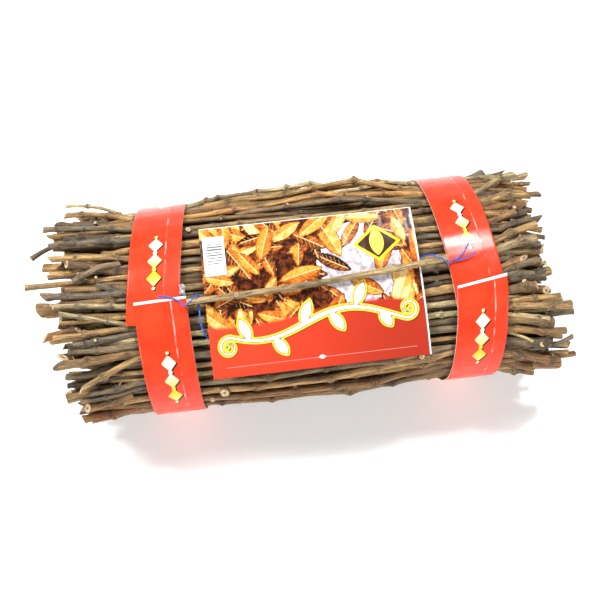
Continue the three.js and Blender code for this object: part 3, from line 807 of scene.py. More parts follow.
# Materials
class Shader:
    """A material made of nodes."""

    def __init__(self, name):
        self.material = bpy.data.materials.new(name)
        self.material.use_nodes = True
        self.tree = self.material.node_tree
        self.tree.nodes.clear()
        output = self.tree.nodes.new("ShaderNodeOutputMaterial")
        self.surface = self.tree.nodes.new("ShaderNodeBsdfPrincipled")
        self.tree.links.new(self.surface.outputs[0], output.inputs[0])

    def set(self, **values):
        """Values or sockets of the surface, by the sockets' names with _ for a space."""
        for name, value in values.items():
            self.put(value, self.surface.inputs[name.replace("_", " ")])
        return self.material

    def put(self, value, socket):
        if isinstance(value, bpy.types.NodeSocket):
            self.tree.links.new(value, socket)
        elif socket.type == "RGBA" and len(value) == 3:
            socket.default_value = (*value, 1.0)
        else:
            socket.default_value = value

    def node(self, kind, inputs, output=0, **settings):
        node = self.tree.nodes.new(f"ShaderNode{kind}")
        for name, value in settings.items():
            setattr(node, name, value)
        for key, value in inputs.items():
            self.put(value, node.inputs[key])
        return node.outputs[output]

    def attribute(self, name, output="Fac"):
        return self.node("Attribute", {}, output, attribute_name=name)

    def math(self, operation, *values):
        return self.node("Math", dict(enumerate(values)), operation=operation)

    def times(self, first, second):
        return self.math("MULTIPLY", first, second)

    def stretch(self, vector, scale):
        return self.node("VectorMath", {0: vector, 1: scale}, operation="MULTIPLY")

    def noise(self, vector, scale, detail=3.0, roughness=0.55):
        inputs = {"Vector": vector, "Scale": scale, "Detail": detail, "Roughness": roughness}
        return self.node("TexNoise", inputs)

    def limits(self, value, low, high, start=0.0, end=1.0):
        inputs = {"Value": value, "From Min": low, "From Max": high, "To Min": start, "To Max": end}
        return self.node("MapRange", inputs, interpolation_type="SMOOTHSTEP")

    def mix(self, share, first, second, blend="MIX"):
        node = self.tree.nodes.new("ShaderNodeMix")
        node.data_type = "RGBA"
        node.blend_type = blend
        node.clamp_factor = True
        for value, socket in ((share, node.inputs[0]), (first, node.inputs[6]), (second, node.inputs[7])):
            self.put(value, socket)
        return node.outputs[2]

    def over(self, colour, tint, value, *limits):
        """A tint over a colour, as strong as a value between its limits."""
        return self.mix(self.limits(value, *limits), colour, tint)

    def bump(self, height, distance, strength):
        return self.node("Bump", {"Height": height, "Distance": distance, "Strength": strength})


def bark_material():
    """Bark in each twig's own tint, with streaks, patches and specks along its grain."""
    shade = Shader("bark")
    grain = shade.attribute("grain", "Vector")
    tint = shade.attribute("tint", "Vector")
    knot = shade.attribute("knot")
    streaks = shade.noise(shade.stretch(grain, (1.0, 1.0, 0.07)), 0.9, 4.0, 0.6)
    fine = shade.noise(shade.stretch(grain, (1.0, 1.0, 0.12)), 2.6, 2.0, 0.5)
    patches = shade.noise(shade.stretch(grain, (1.0, 1.0, 0.35)), 0.16, 3.0, 0.6)
    specks = shade.noise(shade.stretch(grain, (1.0, 1.0, 0.5)), 1.3, 1.0, 0.4)
    weather = shade.noise(shade.stretch(grain, (1.0, 1.0, 0.1)), 0.17, 3.0, 0.6)

    light = shade.limits(streaks, 0.34, 0.68, 0.5, 1.45)
    base = shade.over(tint, (0.155, 0.120, 0.075), weather, 0.48, 0.62, 0.0, 0.7)
    colour = shade.mix(1.0, base, shade.node("CombineColor", {0: light, 1: light, 2: light}), "MULTIPLY")
    colour = shade.over(colour, (0.42, 0.24, 0.085), patches, 0.54, 0.70, 0.0, 0.45)
    colour = shade.over(colour, (0.075, 0.042, 0.020), patches, 0.30, 0.44, 0.55, 0.0)
    colour = shade.over(colour, (0.045, 0.028, 0.016), fine, 0.55, 0.7, 0.0, 0.6)
    colour = shade.over(colour, (0.025, 0.016, 0.010), specks, 0.63, 0.71, 0.0, 0.75)
    dark = shade.times(knot, shade.limits(streaks, 0.3, 0.7, 0.95, 0.35))
    colour = shade.mix(dark, colour, (0.035, 0.021, 0.012))
    height = shade.math("ADD", shade.times(streaks, 0.7), shade.times(fine, 0.3))
    return shade.set(
        Base_Color=colour,
        Roughness=shade.limits(streaks, 0.3, 0.7, 0.62, 0.86),
        Normal=shade.bump(height, 0.5 * MM, 0.9),
        Specular_IOR_Level=0.35,
    )


def cut_wood_material():
    """Pale wood with a dark pith and a dark rim."""
    shade = Shader("cut_wood")
    grain = shade.attribute("grain", "Vector")
    across = shade.stretch(grain, (1.0, 1.0, 0.0))
    distance = shade.node("VectorMath", {0: across}, "Value", operation="LENGTH")
    share = shade.math("DIVIDE", distance, shade.attribute("girth"))
    fibres = shade.noise(grain, 1.4, 3.0, 0.6)
    stains = shade.noise(grain, 0.35, 2.0, 0.5)
    colour = shade.mix(fibres, (0.62, 0.44, 0.23), (0.80, 0.64, 0.39))
    colour = shade.over(colour, (0.27, 0.17, 0.085), stains, 0.42, 0.66, 0.0, 0.75)
    colour = shade.over(colour, (0.16, 0.08, 0.035), share, 0.24, 0.36, 0.85, 0.0)
    colour = shade.over(colour, (0.10, 0.06, 0.032), share, 0.84, 0.96, 0.0, 0.9)
    return shade.set(
        Base_Color=colour,
        Roughness=0.82,
        Normal=shade.bump(fibres, 0.35 * MM, 0.7),
        Specular_IOR_Level=0.3,
    )


BARK = bark_material()
CUT_WOOD = cut_wood_material()


def outer_twig(name):
    """A twig of the outer layer, along its solid."""
    twig = OUTER[name]
    path = wander(smooth_path(twig["path"]), END_WANDER, END_SLANT, END_SETTLE)
    path[:, 2] = np.maximum(path[:, 2], FLOOR_ROOM * twig["radius"])
    length = path_length(path)
    mass = Mass()
    add_twig(
        mass,
        path,
        SLIMMER * twig["radius"],
        more_knuckles(twig["knuckles"], length),
        (random_cut(), random_cut()),
        varied(TAN) if name == FORKED else random_tint(OUTER_TINTS),
        sides=OUTER_SIDES,
        spur=twig["spur"],
        butts=(random_butt(), random_butt()),
    )
    piece = mass.make(f"bark_{name}")
    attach(piece, "root")
    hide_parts(name)


def paint_middle_shade(mass):
    """Darkens the stretch of the inner twigs between the bands: painted shade where the bands and the outer
    twigs cover them.
    """
    for number, points in enumerate(mass.points):
        left = smooth_step(-points[:, 0], LEFT_END - SHADE_RUN, LEFT_END)
        right = smooth_step(points[:, 0], RIGHT_END - SHADE_RUN, RIGHT_END)
        # Painted shade: darkest between the bands, the full tint past them
        light = MIDDLE_PAINTED_SHADE + (1 - MIDDLE_PAINTED_SHADE) * np.maximum(left, right)
        mass.values["tint"][number] = mass.values["tint"][number] * light[:, None]


def inner_twigs():
    """The twigs inside the bundle, shared out among a few pieces."""
    places, radii = settle_inner()
    reach = packed_reach()
    masses = [Mass() for _ in range(INNER_PIECES)]
    for number, (places_of, radius) in enumerate(zip(places, radii)):
        left = reach(*places_of[0], -1)
        right = reach(*places_of[-1], 1)
        x = np.linspace(left, right, 60)
        line = np.stack([x, *(np.interp(x, STATIONS, places_of[:, k]) for k in (0, 1))], -1)
        path = wander(smooth_path(line, 9.0, 30.0), INNER_WANDER)
        path[:, 2] = np.maximum(path[:, 2], FLOOR_ROOM * radius)
        length = path_length(path)
        knuckles = random_knuckles(length)
        seen = oval_share(places_of, 0.0).max() > INNER_SEEN
        if not seen:
            knuckles = knuckles[np.minimum(knuckles, length - knuckles) < INNER_ZONE]
        steps = SEEN_STEPS if seen else UNSEEN_STEPS
        # The tint is darkened: painted shade for the deep gaps between the twigs
        tint = INNER_PAINTED_SHADE * random_tint()
        cuts = (random_cut(), random_cut())
        mass = masses[number % INNER_PIECES]
        add_twig(mass, path, radius, knuckles, cuts, tint, INNER_SIDES, steps, FEW_OFFSETS)
    for number, mass in enumerate(masses):
        paint_middle_shade(mass)
        piece = mass.make(f"inner_twigs_{number + 1}")
        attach(piece, "root")
        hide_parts("packed_twigs")


for name in OUTER_NAMES:
    outer_twig(name)
inner_twigs()


def twig_over_card():
    """The long twig on the card, with a cut shoot that faces out of the bundle."""
    twig = read_twig("card_twig")
    path = smooth_path(twig["path"])
    mass = Mass()
    knuckles = np.array(twig["knuckles"])
    tint = np.array(CARD_TWIG_TINT)
    cuts = ((0.1, 0.3), (0.3, -0.2))
    add_twig(mass, path, CARD_TWIG_SLIMMER * twig["radius"], knuckles, cuts, tint, 16, (7.0, 9.0))
    outward = np.array([0.25, -math.sin(CARD_FACING), math.cos(CARD_FACING)])
    foot = at_places(knuckles[0] + path[0, 0], path, range(3))
    add_stub(mass, foot, outward, 2.3, twig["radius"] + 1.6, tint)
    piece = mass.make("bark_card_twig")
    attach(piece, "root")
    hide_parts("card_twig")


twig_over_card()


# Sheets: grids of points with a front, a back and edges
def sheet(name, front, back, values, materials):
    """A thin closed sheet between two grids of points. values holds numbers for each point of a grid."""
    rows, columns = front.shape[:2]
    count = rows * columns
    index = np.arange(count).reshape(rows, columns)
    quads = np.stack([index[:-1, :-1], index[:-1, 1:], index[1:, 1:], index[1:, :-1]], -1).reshape(-1, 4)
    loop = np.concatenate([index[0, :-1], index[:-1, -1], index[-1, :0:-1], index[:0:-1, 0]])
    following = np.roll(loop, -1)
    edge = np.stack([loop, loop + count, following + count, following], -1)
    points = np.concatenate([front.reshape(-1, 3), back.reshape(-1, 3)])
    faces = np.concatenate([quads, quads[:, ::-1] + count, edge])
    kinds = np.arange(len(faces)) >= len(quads)
    smooth = np.arange(len(faces)) < 2 * len(quads)
    both = {key: np.concatenate([data.reshape(count, *data.shape[2:])] * 2) for key, data in values.items()}
    return make_piece(name, points, faces.tolist(), kinds, smooth, both, materials)


# Rim of the section, from the top over the front
def rim_points(turn):
    z = np.maximum(CENTRE_Z + HALF_HEIGHT * np.cos(turn), ROOM_FLOOR)
    return np.stack([MIDDLE_Y - HALF_WIDTH * np.sin(turn), z], -1)


RIM_TURN = np.linspace(0, FULL_TURN, 4001)
RIM = rim_points(RIM_TURN)
RIM_MARKS = path_marks(RIM)
RIM_LENGTH = RIM_MARKS[-1]
RIM_ALONG = np.gradient(RIM, axis=0)
RIM_ALONG /= np.linalg.norm(RIM_ALONG, axis=1, keepdims=True)


def rim_at(distance, height):
    """Points at distances along the rim, so far out of it."""
    around = np.mod(distance, RIM_LENGTH)
    y = np.interp(around, RIM_MARKS, RIM[:, 0]) + height * np.interp(around, RIM_MARKS, RIM_ALONG[:, 1])
    z = np.interp(around, RIM_MARKS, RIM[:, 1]) - height * np.interp(around, RIM_MARKS, RIM_ALONG[:, 0])
    return y, z


def facing_turn(degrees):
    """The turn from the top at which the oval faces so many degrees from upright."""
    tilt = math.radians(degrees)
    return math.atan2(HALF_WIDTH * math.sin(tilt), HALF_HEIGHT * math.cos(tilt))


def facing_distance(degrees):
    """Distance along the rim to where it faces so many degrees from upright."""
    return float(np.interp(facing_turn(degrees), RIM_TURN, RIM_MARKS))


CARD_LINE = facing_distance(math.degrees(CARD_FACING))


# Loose twigs: the skin of the bundle as it is seen from the card's side
LOOK_UP = np.array([math.sin(CAMERA_ELEVATION), math.cos(CAMERA_ELEVATION)])
LOOK_BACK = np.array([-math.cos(CAMERA_ELEVATION), math.sin(CAMERA_ELEVATION)])
SEEN_TURN = np.radians(np.linspace(110.0, -69.0, 360))
SEEN_SKIN = np.stack([-HALF_WIDTH * np.sin(SEEN_TURN), HALF_HEIGHT * np.cos(SEEN_TURN)], -1)
SEEN_SCALE = CARD_AWAY / (CAMERA_DISTANCE / MM - SEEN_SKIN @ LOOK_BACK)
SEEN_ACROSS = (SEEN_SKIN @ LOOK_UP + LOOK_SHIFT) * SEEN_SCALE - CARD_SHIFT
SEEN_OUT = np.stack([-HALF_HEIGHT * np.sin(SEEN_TURN), HALF_WIDTH * np.cos(SEEN_TURN)], -1)
SEEN_FACING = SEEN_OUT @ LOOK_UP / np.linalg.norm(SEEN_OUT, axis=1) * SEEN_SCALE


def seen_at(turn, values):
    """Values of the skin as it is seen, at turns from the top towards the front."""
    return np.interp(turn, SEEN_TURN[::-1], values[::-1])


def skin_point(turn, height):
    """A place of the section so far off the skin, at a turn from the top towards the front."""
    out = np.stack([-HALF_HEIGHT * np.sin(turn), HALF_WIDTH * np.cos(turn)], -1)
    out /= np.linalg.norm(out, axis=-1, keepdims=True)
    return rim_points(turn) + height[:, None] * out


def under_band(height, past, radius):
    """Heights off the skin, low enough to pass under a band and to rise slowly past its edge."""
    return np.minimum(height, -1.2 * radius - 0.6 + 0.4 * np.clip(past - 2, 0, None))


def add_loose_twig(mass, x, turn, height, radius, tint, butt):
    """A loose twig through places given by turns about the section and heights off the skin."""
    edge = -BOXES["paper_band_left"][0][0] if x[0] < 0 else BOXES["paper_band_right"][1][0]
    height = under_band(height, np.abs(x) - edge, radius)
    path = np.concatenate([x[:, None], skin_point(turn, height)], 1)
    _, past_right = past_bands(x)
    path[:, 1:] -= past_right[:, None] * END_SINK
    path[:, 2] = np.maximum(path[:, 2], 1.5 * radius * (1 + butt))
    path[:, 1:] += np.sin(np.linspace(0, math.pi, len(x)))[:, None] * rng.normal(0, 0.8, 2)
    length = path_length(path)
    knuckles = np.arange(rng.uniform(8, 30), length - 5, rng.uniform(26, 48))
    cuts = (random_cut(), random_cut())
    add_twig(mass, path, radius, knuckles, cuts, tint, steps=LOOSE_STEPS, butts=(butt, 0.0))


def add_cut_shoot(mass, along, across, height, radius):
    """A cut shoot that faces the card's side."""
    turn = np.interp([across, across], SEEN_ACROSS, SEEN_TURN)
    x = CARD_MIDDLE + along / seen_at(turn[0], SEEN_SCALE)
    foot, top = skin_point(turn, np.array([height - SHOOT_LENGTH, height]))
    out = (top - foot) / SHOOT_LENGTH + SHOOT_LEAN * LOOK_BACK
    direction = np.array([rng.uniform(-0.3, 0.3), *out])
    add_stub(mass, np.array([x, *foot]), direction, radius, SHOOT_LENGTH, varied(BROWN), 12)


def loose_twigs(name, rows, sign):
    """The loose twigs over one end: those listed, then those behind."""
    mass = Mass()
    for shoot in CUT_SHOOTS:
        if shoot[0] * sign > 0:
            add_cut_shoot(mass, *shoot)
    share = np.linspace(0, 1, LOOSE_PLACES)
    for tip, foot, radius, tint, rise, rise_foot, butt in rows:
        along = tip[0] + (foot[0] - tip[0]) * share
        across = np.array([tip[1], foot[1]]) + past_bands(along[[0, -1]])[1] * (LOOK_UP @ END_SINK)
        turns = np.interp(across, SEEN_ACROSS, SEEN_TURN)
        turn = turns[0] + (turns[1] - turns[0]) * share
        x = CARD_MIDDLE + along / seen_at(turn[0], SEEN_SCALE)
        height = rise + (rise_foot - rise) * share**1.5
        add_loose_twig(mass, x, turn, height, radius, varied(tint), butt)
    for _ in range(LOOSE_HIDDEN):
        start = math.radians(rng.choice([rng.uniform(*turns) for turns in LOOSE_TURNS]))
        turn = start + math.radians(rng.normal(0, 7)) * (1 - share)
        x = sign * (rng.uniform(*LOOSE_TIPS) - LOOSE_RUN * share)
        height = rng.uniform(0, 3.5) * (1 - share) - 4.5 * share
        add_loose_twig(mass, x, turn, height, rng.uniform(2.2, 4.2), random_tint(), random_butt())
    piece = mass.make(name)
    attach(piece, "root")


def add_bent_twig(mass, x, turn, height, radius, tint):
    """A twig with a knuckle at each of its bends, under a band where it reaches one."""
    inside = np.minimum(x - BOXES["paper_band_left"][1][0], BOXES["paper_band_right"][0][0] - x)
    height = under_band(height, inside, radius)
    bends = np.concatenate([x[:, None], skin_point(turn, height)], 1)
    bends[:, 2] = np.maximum(bends[:, 2], 1.6 * radius)
    path = smooth_path(bends, 3.0, 5.0)
    knuckles = np.interp(bends[1:-1, 0], path[:, 0], path_marks(path))
    add_twig(mass, path, radius, knuckles, (random_cut(), random_cut()), tint, steps=LOOSE_STEPS)


def bent_twigs(name):
    """The bent twigs between the bands: those listed, then those behind."""
    mass = Mass()
    for radius, tint, turns, bends in BENT_TWIGS:
        along, across = np.array(bends, dtype=float).T
        turn = np.radians(np.interp(along, along[[0, -1]], turns))
        height = np.clip((across - seen_at(turn, SEEN_ACROSS)) / seen_at(turn, SEEN_FACING), *BENT_HEIGHTS)
        x = CARD_MIDDLE + along / seen_at(turn, SEEN_SCALE)
        # The tint is lightened: painted light on a twig that lies on top
        add_bent_twig(mass, x, turn, height, radius, BENT_PAINTED_LIGHT * varied(tint))
    for _ in range(BENT_HIDDEN):
        x = BENT_PLACES + np.r_[0.0, rng.uniform(-14, 14, 5), 0.0]
        lean = rng.uniform(*BENT_TURNS) + rng.normal(0, 1.6, 7) + rng.normal(0, 3) * x / BENT_PLACES[-1]
        turn = np.radians(lean)
        height = np.r_[-5.0, rng.uniform(1.0, 4.5, 5), -5.0]
        add_bent_twig(mass, x, turn, height, rng.uniform(2.4, 3.4), random_tint(OUTER_TINTS))
    piece = mass.make(name)
    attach(piece, "root")


bent_twigs("bent_twigs")
loose_twigs("loose_twigs_left", LOOSE_LEFT, -1)
loose_twigs("loose_twigs_right", LOOSE_RIGHT, 1)


# Print on the bands
def lozenge(across, along, half_length, half_width):
    """Distance, near enough, to a lozenge: less than nothing inside it, as with the other distances."""
    return (np.abs(across) / half_width + np.abs(along) / half_length - 1) * half_width * 0.8


def chain_distance(across, along):
    """Distance to a chain of three lozenges with dots between and beyond them."""
    pitch = MARK_LENGTH / 3
    forms = [lozenge(across, along - k * pitch, *LOZENGE) for k in (-1, 0, 1)]
    forms += [np.hypot(across, along - k * pitch) - DOT for k in (-0.5, 0.5)]
    forms += [np.hypot(across, along - k * pitch) - 0.8 * DOT for k in (-1.55, 1.55)]
    return np.minimum.reduce(forms)


def band_material(name, tape_edge):
    """Red print under clear tape, which ends so far across the band in a wavering edge, with painted glints
    along that edge.
    """
    shade = Shader(name)
    spot = shade.attribute("sheet", "Vector")
    across = shade.node("SeparateXYZ", {0: spot})
    mottle = shade.noise(spot, 0.05, 3.0, 0.6)
    fibre = shade.noise(spot, 1.1, 2.0, 0.6)
    red = shade.over((0.74, 0.040, 0.012), (0.86, 0.058, 0.018), mottle, 0.35, 0.7)
    red = shade.over(red, (0.95, 0.12, 0.06), fibre, 0.5, 0.8, 0.0, 0.2)
    mark = shade.attribute("mark")
    shadow = shade.attribute("shadow")
    fade = shade.attribute("fade")
    colour = shade.over(red, (0.035, 0.012, 0.006), shadow, -0.2, 0.5, 1.0, 0.0)
    gold = shade.mix(fade, (0.90, 0.62, 0.02), (0.95, 0.92, 0.72))
    colour = shade.over(colour, gold, mark, -0.25, 0.25, 1.0, 0.0)
    colour = shade.over(colour, (0.93, 0.91, 0.88), shade.attribute("cut_edge"), -0.2, 0.2)
    crease = shade.noise(shade.stretch(spot, (1.0, 0.3, 1.0)), 0.25, 3.0, 0.55)
    waver = shade.noise(shade.stretch(spot, (0.0, 1.0, 0.0)), 0.03)
    wobble = shade.math("MULTIPLY_ADD", waver, 5.0, tape_edge - 2.5)
    past_tape = shade.math("SUBTRACT", across, wobble)
    edge = shade.limits(shade.math("ABSOLUTE", past_tape), 0.15, 0.9, 1.0, 0.0)
    taped = shade.limits(past_tape, -0.3, 0.3, 1.0, 0.0)
    wrinkle = shade.noise(shade.stretch(spot, (1.0, 0.12, 1.0)), 0.45, 2.0, 0.5)
    height = shade.math("MULTIPLY_ADD", edge, 0.5, shade.times(crease, 0.5))
    height = shade.math("MULTIPLY_ADD", shade.times(wrinkle, taped), 0.35, height)
    height = shade.math("MULTIPLY_ADD", fibre, 0.12, height)
    # Pale streaks along the tape's edge: painted glints
    painted_glint = shade.times(edge, shade.limits(shade.noise(spot, 0.07), 0.45, 0.62))
    colour = shade.mix(shade.times(painted_glint, 0.55), colour, (1.0, 0.75, 0.68))
    return shade.set(
        Base_Color=colour,
        Roughness=shade.limits(taped, 0.0, 1.0, 0.36, 0.26),
        Normal=shade.bump(height, 0.6 * MM, 0.55),
        Specular_IOR_Level=0.2,
        Coat_Weight=0.18,
        Coat_Roughness=0.16,
    )


def paper_material():
    shade = Shader("plain_paper")
    spot = shade.attribute("sheet", "Vector")
    fibre = shade.noise(spot, 0.9, 4.0, 0.6)
    colour = shade.mix(fibre, (0.78, 0.76, 0.72), (0.90, 0.89, 0.86))
    return shade.set(Base_Color=colour, Roughness=0.75, Normal=shade.bump(fibre, 0.1 * MM, 0.4))


PAPER = paper_material()


def band_aside(along, length, start, end):
    """How far a strip lies aside at distances along it: both its ends turn away."""
    near_start = np.clip(1 - along / BAND_SKEW, 0, None) ** 1.5
    near_end = np.clip(1 - (length - along) / BAND_SKEW, 0, None) ** 1.5
    return start * near_start + end * near_end


def band(name, start, end, seam, lean, tape_edge, first_mark):
    """A strip round the bundle. start and end say how far its ends lie aside, seam where they overlap, in
    degrees from upright, lean how askew the last end is, and first_mark where the print starts."""
    length = RIM_LENGTH + BAND_OVERLAP
    along = np.linspace(0, length, BAND_GRID[0])[:, None]
    across = np.linspace(-BAND_WIDTH / 2, BAND_WIDTH / 2, BAND_GRID[1])[None, :]
    corners = [corner.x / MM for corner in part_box(name)]
    aside = band_aside(along, length, start, end)
    middle = (corners[0] + BAND_WIDTH / 2 - aside.min() + corners[1] - BAND_WIDTH / 2 - aside.max()) / 2
    slope = np.gradient(aside[:, 0], along[:, 0])[:, None]
    slope = slope + lean * np.clip(1 - (length - along) / BAND_CLIMB, 0, 1)
    distance = facing_distance(seam) + BAND_OVERLAP / 2 - (along - slope * across)
    climb = smooth_step(along, RIM_LENGTH - BAND_CLIMB, RIM_LENGTH)
    lift = BAND_SLACK + climb * (BAND_THICKNESS + GAP)
    ripple = sum(
        size * np.sin(FULL_TURN * distance / wave + 0.02 * across * k + k)
        for k, (size, wave) in enumerate(((0.14, 43.0), (0.07, 23.3), (0.03, 12.1)), 1)
    )
    _, floor_height = rim_at(distance, 0.0)
    free = np.clip((floor_height - ROOM_FLOOR) / 20.0, 0, 1)
    lift = lift + free * (0.3 + ripple)
    x = middle + aside + across
    grids = []
    for side in (1.0, 0.0):
        y, z = rim_at(distance, lift + side * BAND_THICKNESS)
        grids.append(np.stack([x, y, np.maximum(z, 0.0)], -1))
    up = CARD_LINE - distance - np.where(along > length / 2, RIM_LENGTH, 0.0)
    around = np.mod(up - first_mark + MARK_EVERY / 2, MARK_EVERY) - MARK_EVERY / 2
    values = {
        "sheet": np.stack(np.broadcast_arrays(across, along, 0 * distance), -1),
        "mark": chain_distance(across, around),
        "shadow": chain_distance(across - MARK_SHADOW[0], around + MARK_SHADOW[1]),
        "fade": np.clip(0.5 + 0.5 * np.sin(around / MARK_LENGTH * FULL_TURN), 0, 1),
        "cut_edge": along - (length - 2.6) + 0 * across,
    }
    material = band_material(f"band_print_{name}", tape_edge)
    piece = sheet(f"print_{name}", grids[0], grids[1], values, (material, PAPER))
    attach(piece, "root")
    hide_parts(name)


band("paper_band_left", -12.0, -3.0, 18.0, 0.0, 10.0, 51.0)
band("paper_band_right", 8.0, 10.0, 25.0, -0.24, 12.0, 57.0)


# Card and sticker
def card_points(u, v, out):
    """Points of the bent card's own directions, so far out of the bundle's rim."""
    turn = v / CARD_BEND
    up = (CARD_BEND + out) * np.sin(turn)
    off = (CARD_BEND + out) * np.cos(turn) - CARD_BEND
    start = facing_turn(math.degrees(CARD_FACING))
    y = MIDDLE_Y - HALF_WIDTH * math.sin(start) + up * math.cos(CARD_FACING) - off * math.sin(CARD_FACING)
    z = CENTRE_Z + HALF_HEIGHT * math.cos(start) + up * math.sin(CARD_FACING) + off * math.cos(CARD_FACING)
    return np.stack([CARD_MIDDLE + u + 0 * y, y, z], -1)


CARD_BASE = 0.0
for _ in range(5):
    top = card_points(0.0, CARD_V + np.linspace(-0.5, 0.5, 200) * CARD_HEIGHT, CARD_BASE + CARD_THICKNESS)
    CARD_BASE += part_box("label_card")[1].z / MM - top[:, 2].max()


def segment_distance(u, v, start, end):
    """Distance to a straight line between two points, and the share of the way along it."""
    way = np.subtract(end, start)
    share = np.clip(((u - start[0]) * way[0] + (v - start[1]) * way[1]) / (way @ way), 0, 1)
    return np.hypot(u - start[0] - share * way[0], v - start[1] - share * way[1]), share


def stroke_distance(u, v, points, widths):
    """Distance to a brush stroke through points, with a half width at each."""
    best = np.full(u.shape, 1e3)
    for k in range(len(points) - 1):
        distance, share = segment_distance(u, v, points[k], points[k + 1])
        best = np.minimum(best, distance - widths[k] - share * (widths[k + 1] - widths[k]))
    return best


def leaf_distance(u, v, foot, tip, half_width):
    """Distance to a leaf: the space that two round arcs from foot to tip enclose."""
    way = np.subtract(tip, foot)
    half = np.linalg.norm(way) / 2
    along = ((u - foot[0]) * way[0] + (v - foot[1]) * way[1]) / (2 * half) - half
    aside = np.abs(-(u - foot[0]) * way[1] + (v - foot[1]) * way[0]) / (2 * half)
    radius = (half**2 + half_width**2) / (2 * half_width)
    return np.hypot(along, aside + radius - half_width) - radius


def picture_edge(u):
    """Height of the line between the picture and the plain red below it."""
    return -21.0 + 6.0 * np.sin((u + 12.0) / 38.0)


def fallen_leaves(u, v):
    """A heap of leaves: the tone of the uppermost leaf, the way into it, off its rib and along it."""
    art = np.random.default_rng(11)
    tone = np.full(u.shape, 0.12)
    inside = np.zeros(u.shape)
    off_rib = np.full(u.shape, 20.0)
    along_rib = np.zeros(u.shape)
    for _ in range(LEAF_COUNT):
        middle = art.uniform((-108, -34), (108, 78))
        if np.hypot(*(middle - DISC_MIDDLE)) < DISC_RADIUS and art.uniform() < 0.72:
            continue
        turn = art.uniform(0, FULL_TURN)
        half = art.uniform(13.0, 23.0)
        way = np.array([math.cos(turn), math.sin(turn)])
        leaf = leaf_distance(u, v, middle - half * way, middle + half * way, half * art.uniform(0.3, 0.44))
        shadow = leaf_distance(u - 1.6, v + 2.2, middle - half * way, middle + half * way, 0.4 * half)
        off = -(u - middle[0]) * way[1] + (v - middle[1]) * way[0]
        along = (u - middle[0]) * way[0] + (v - middle[1]) * way[1]
        own = art.uniform(0.1, 1.0)
        tone = np.where(shadow < 0, tone * 0.45, tone)
        tone = np.where(leaf < 0, own + 0.12 * np.sign(off), tone)
        inside = np.where(leaf < 0, -leaf, inside)
        off_rib = np.where(leaf < 0, off + 0.02 * along**2 / half, off_rib)
        along_rib = np.where(leaf < 0, along, along_rib)
    return tone, inside, off_rib, along_rib


def stem_height(u):
    return VINE_HEIGHT + VINE_WAVE * np.sin(u / 27.0 + 0.5)


def vine_distance(u, v):
    """Distance to a vine: a waving stem with a curl at each end and leaves on both sides."""
    places = np.linspace(-VINE_HALF, VINE_HALF, 90)
    stem = np.stack([places, stem_height(places)], -1)
    widths = np.interp(places, [-VINE_HALF, 0, VINE_HALF], [1.6, 2.7, 1.6])
    best = stroke_distance(u, v, stem, widths)
    for end, before in ((0, 1), (-1, -2)):
        turn = np.linspace(0, 8.2, 46)
        size = np.linspace(CURL_SIZE, 1.8, 46)
        heading = math.atan2(*(stem[end] - stem[before])[::-1])
        middle = stem[end] + CURL_SIZE * np.array([-math.sin(heading), math.cos(heading)])
        start = math.atan2(*(stem[end] - middle)[::-1])
        curl = middle + size[:, None] * np.stack([np.cos(start + turn), np.sin(start + turn)], -1)
        best = np.minimum(best, stroke_distance(u, v, curl, np.linspace(1.7, 1.0, 46)))
    for at, rise, reach in VINE_LEAVES:
        foot = np.array([at, stem_height(at)])
        best = np.minimum(best, leaf_distance(u, v, foot, foot + [reach, rise], 5.2))
    return best


def emblem_distance(u, v):
    """Distance to a lozenge in the picture's upper right."""
    return lozenge(v - EMBLEM_MIDDLE[1], u - EMBLEM_MIDDLE[0], 24.0, 19.0)


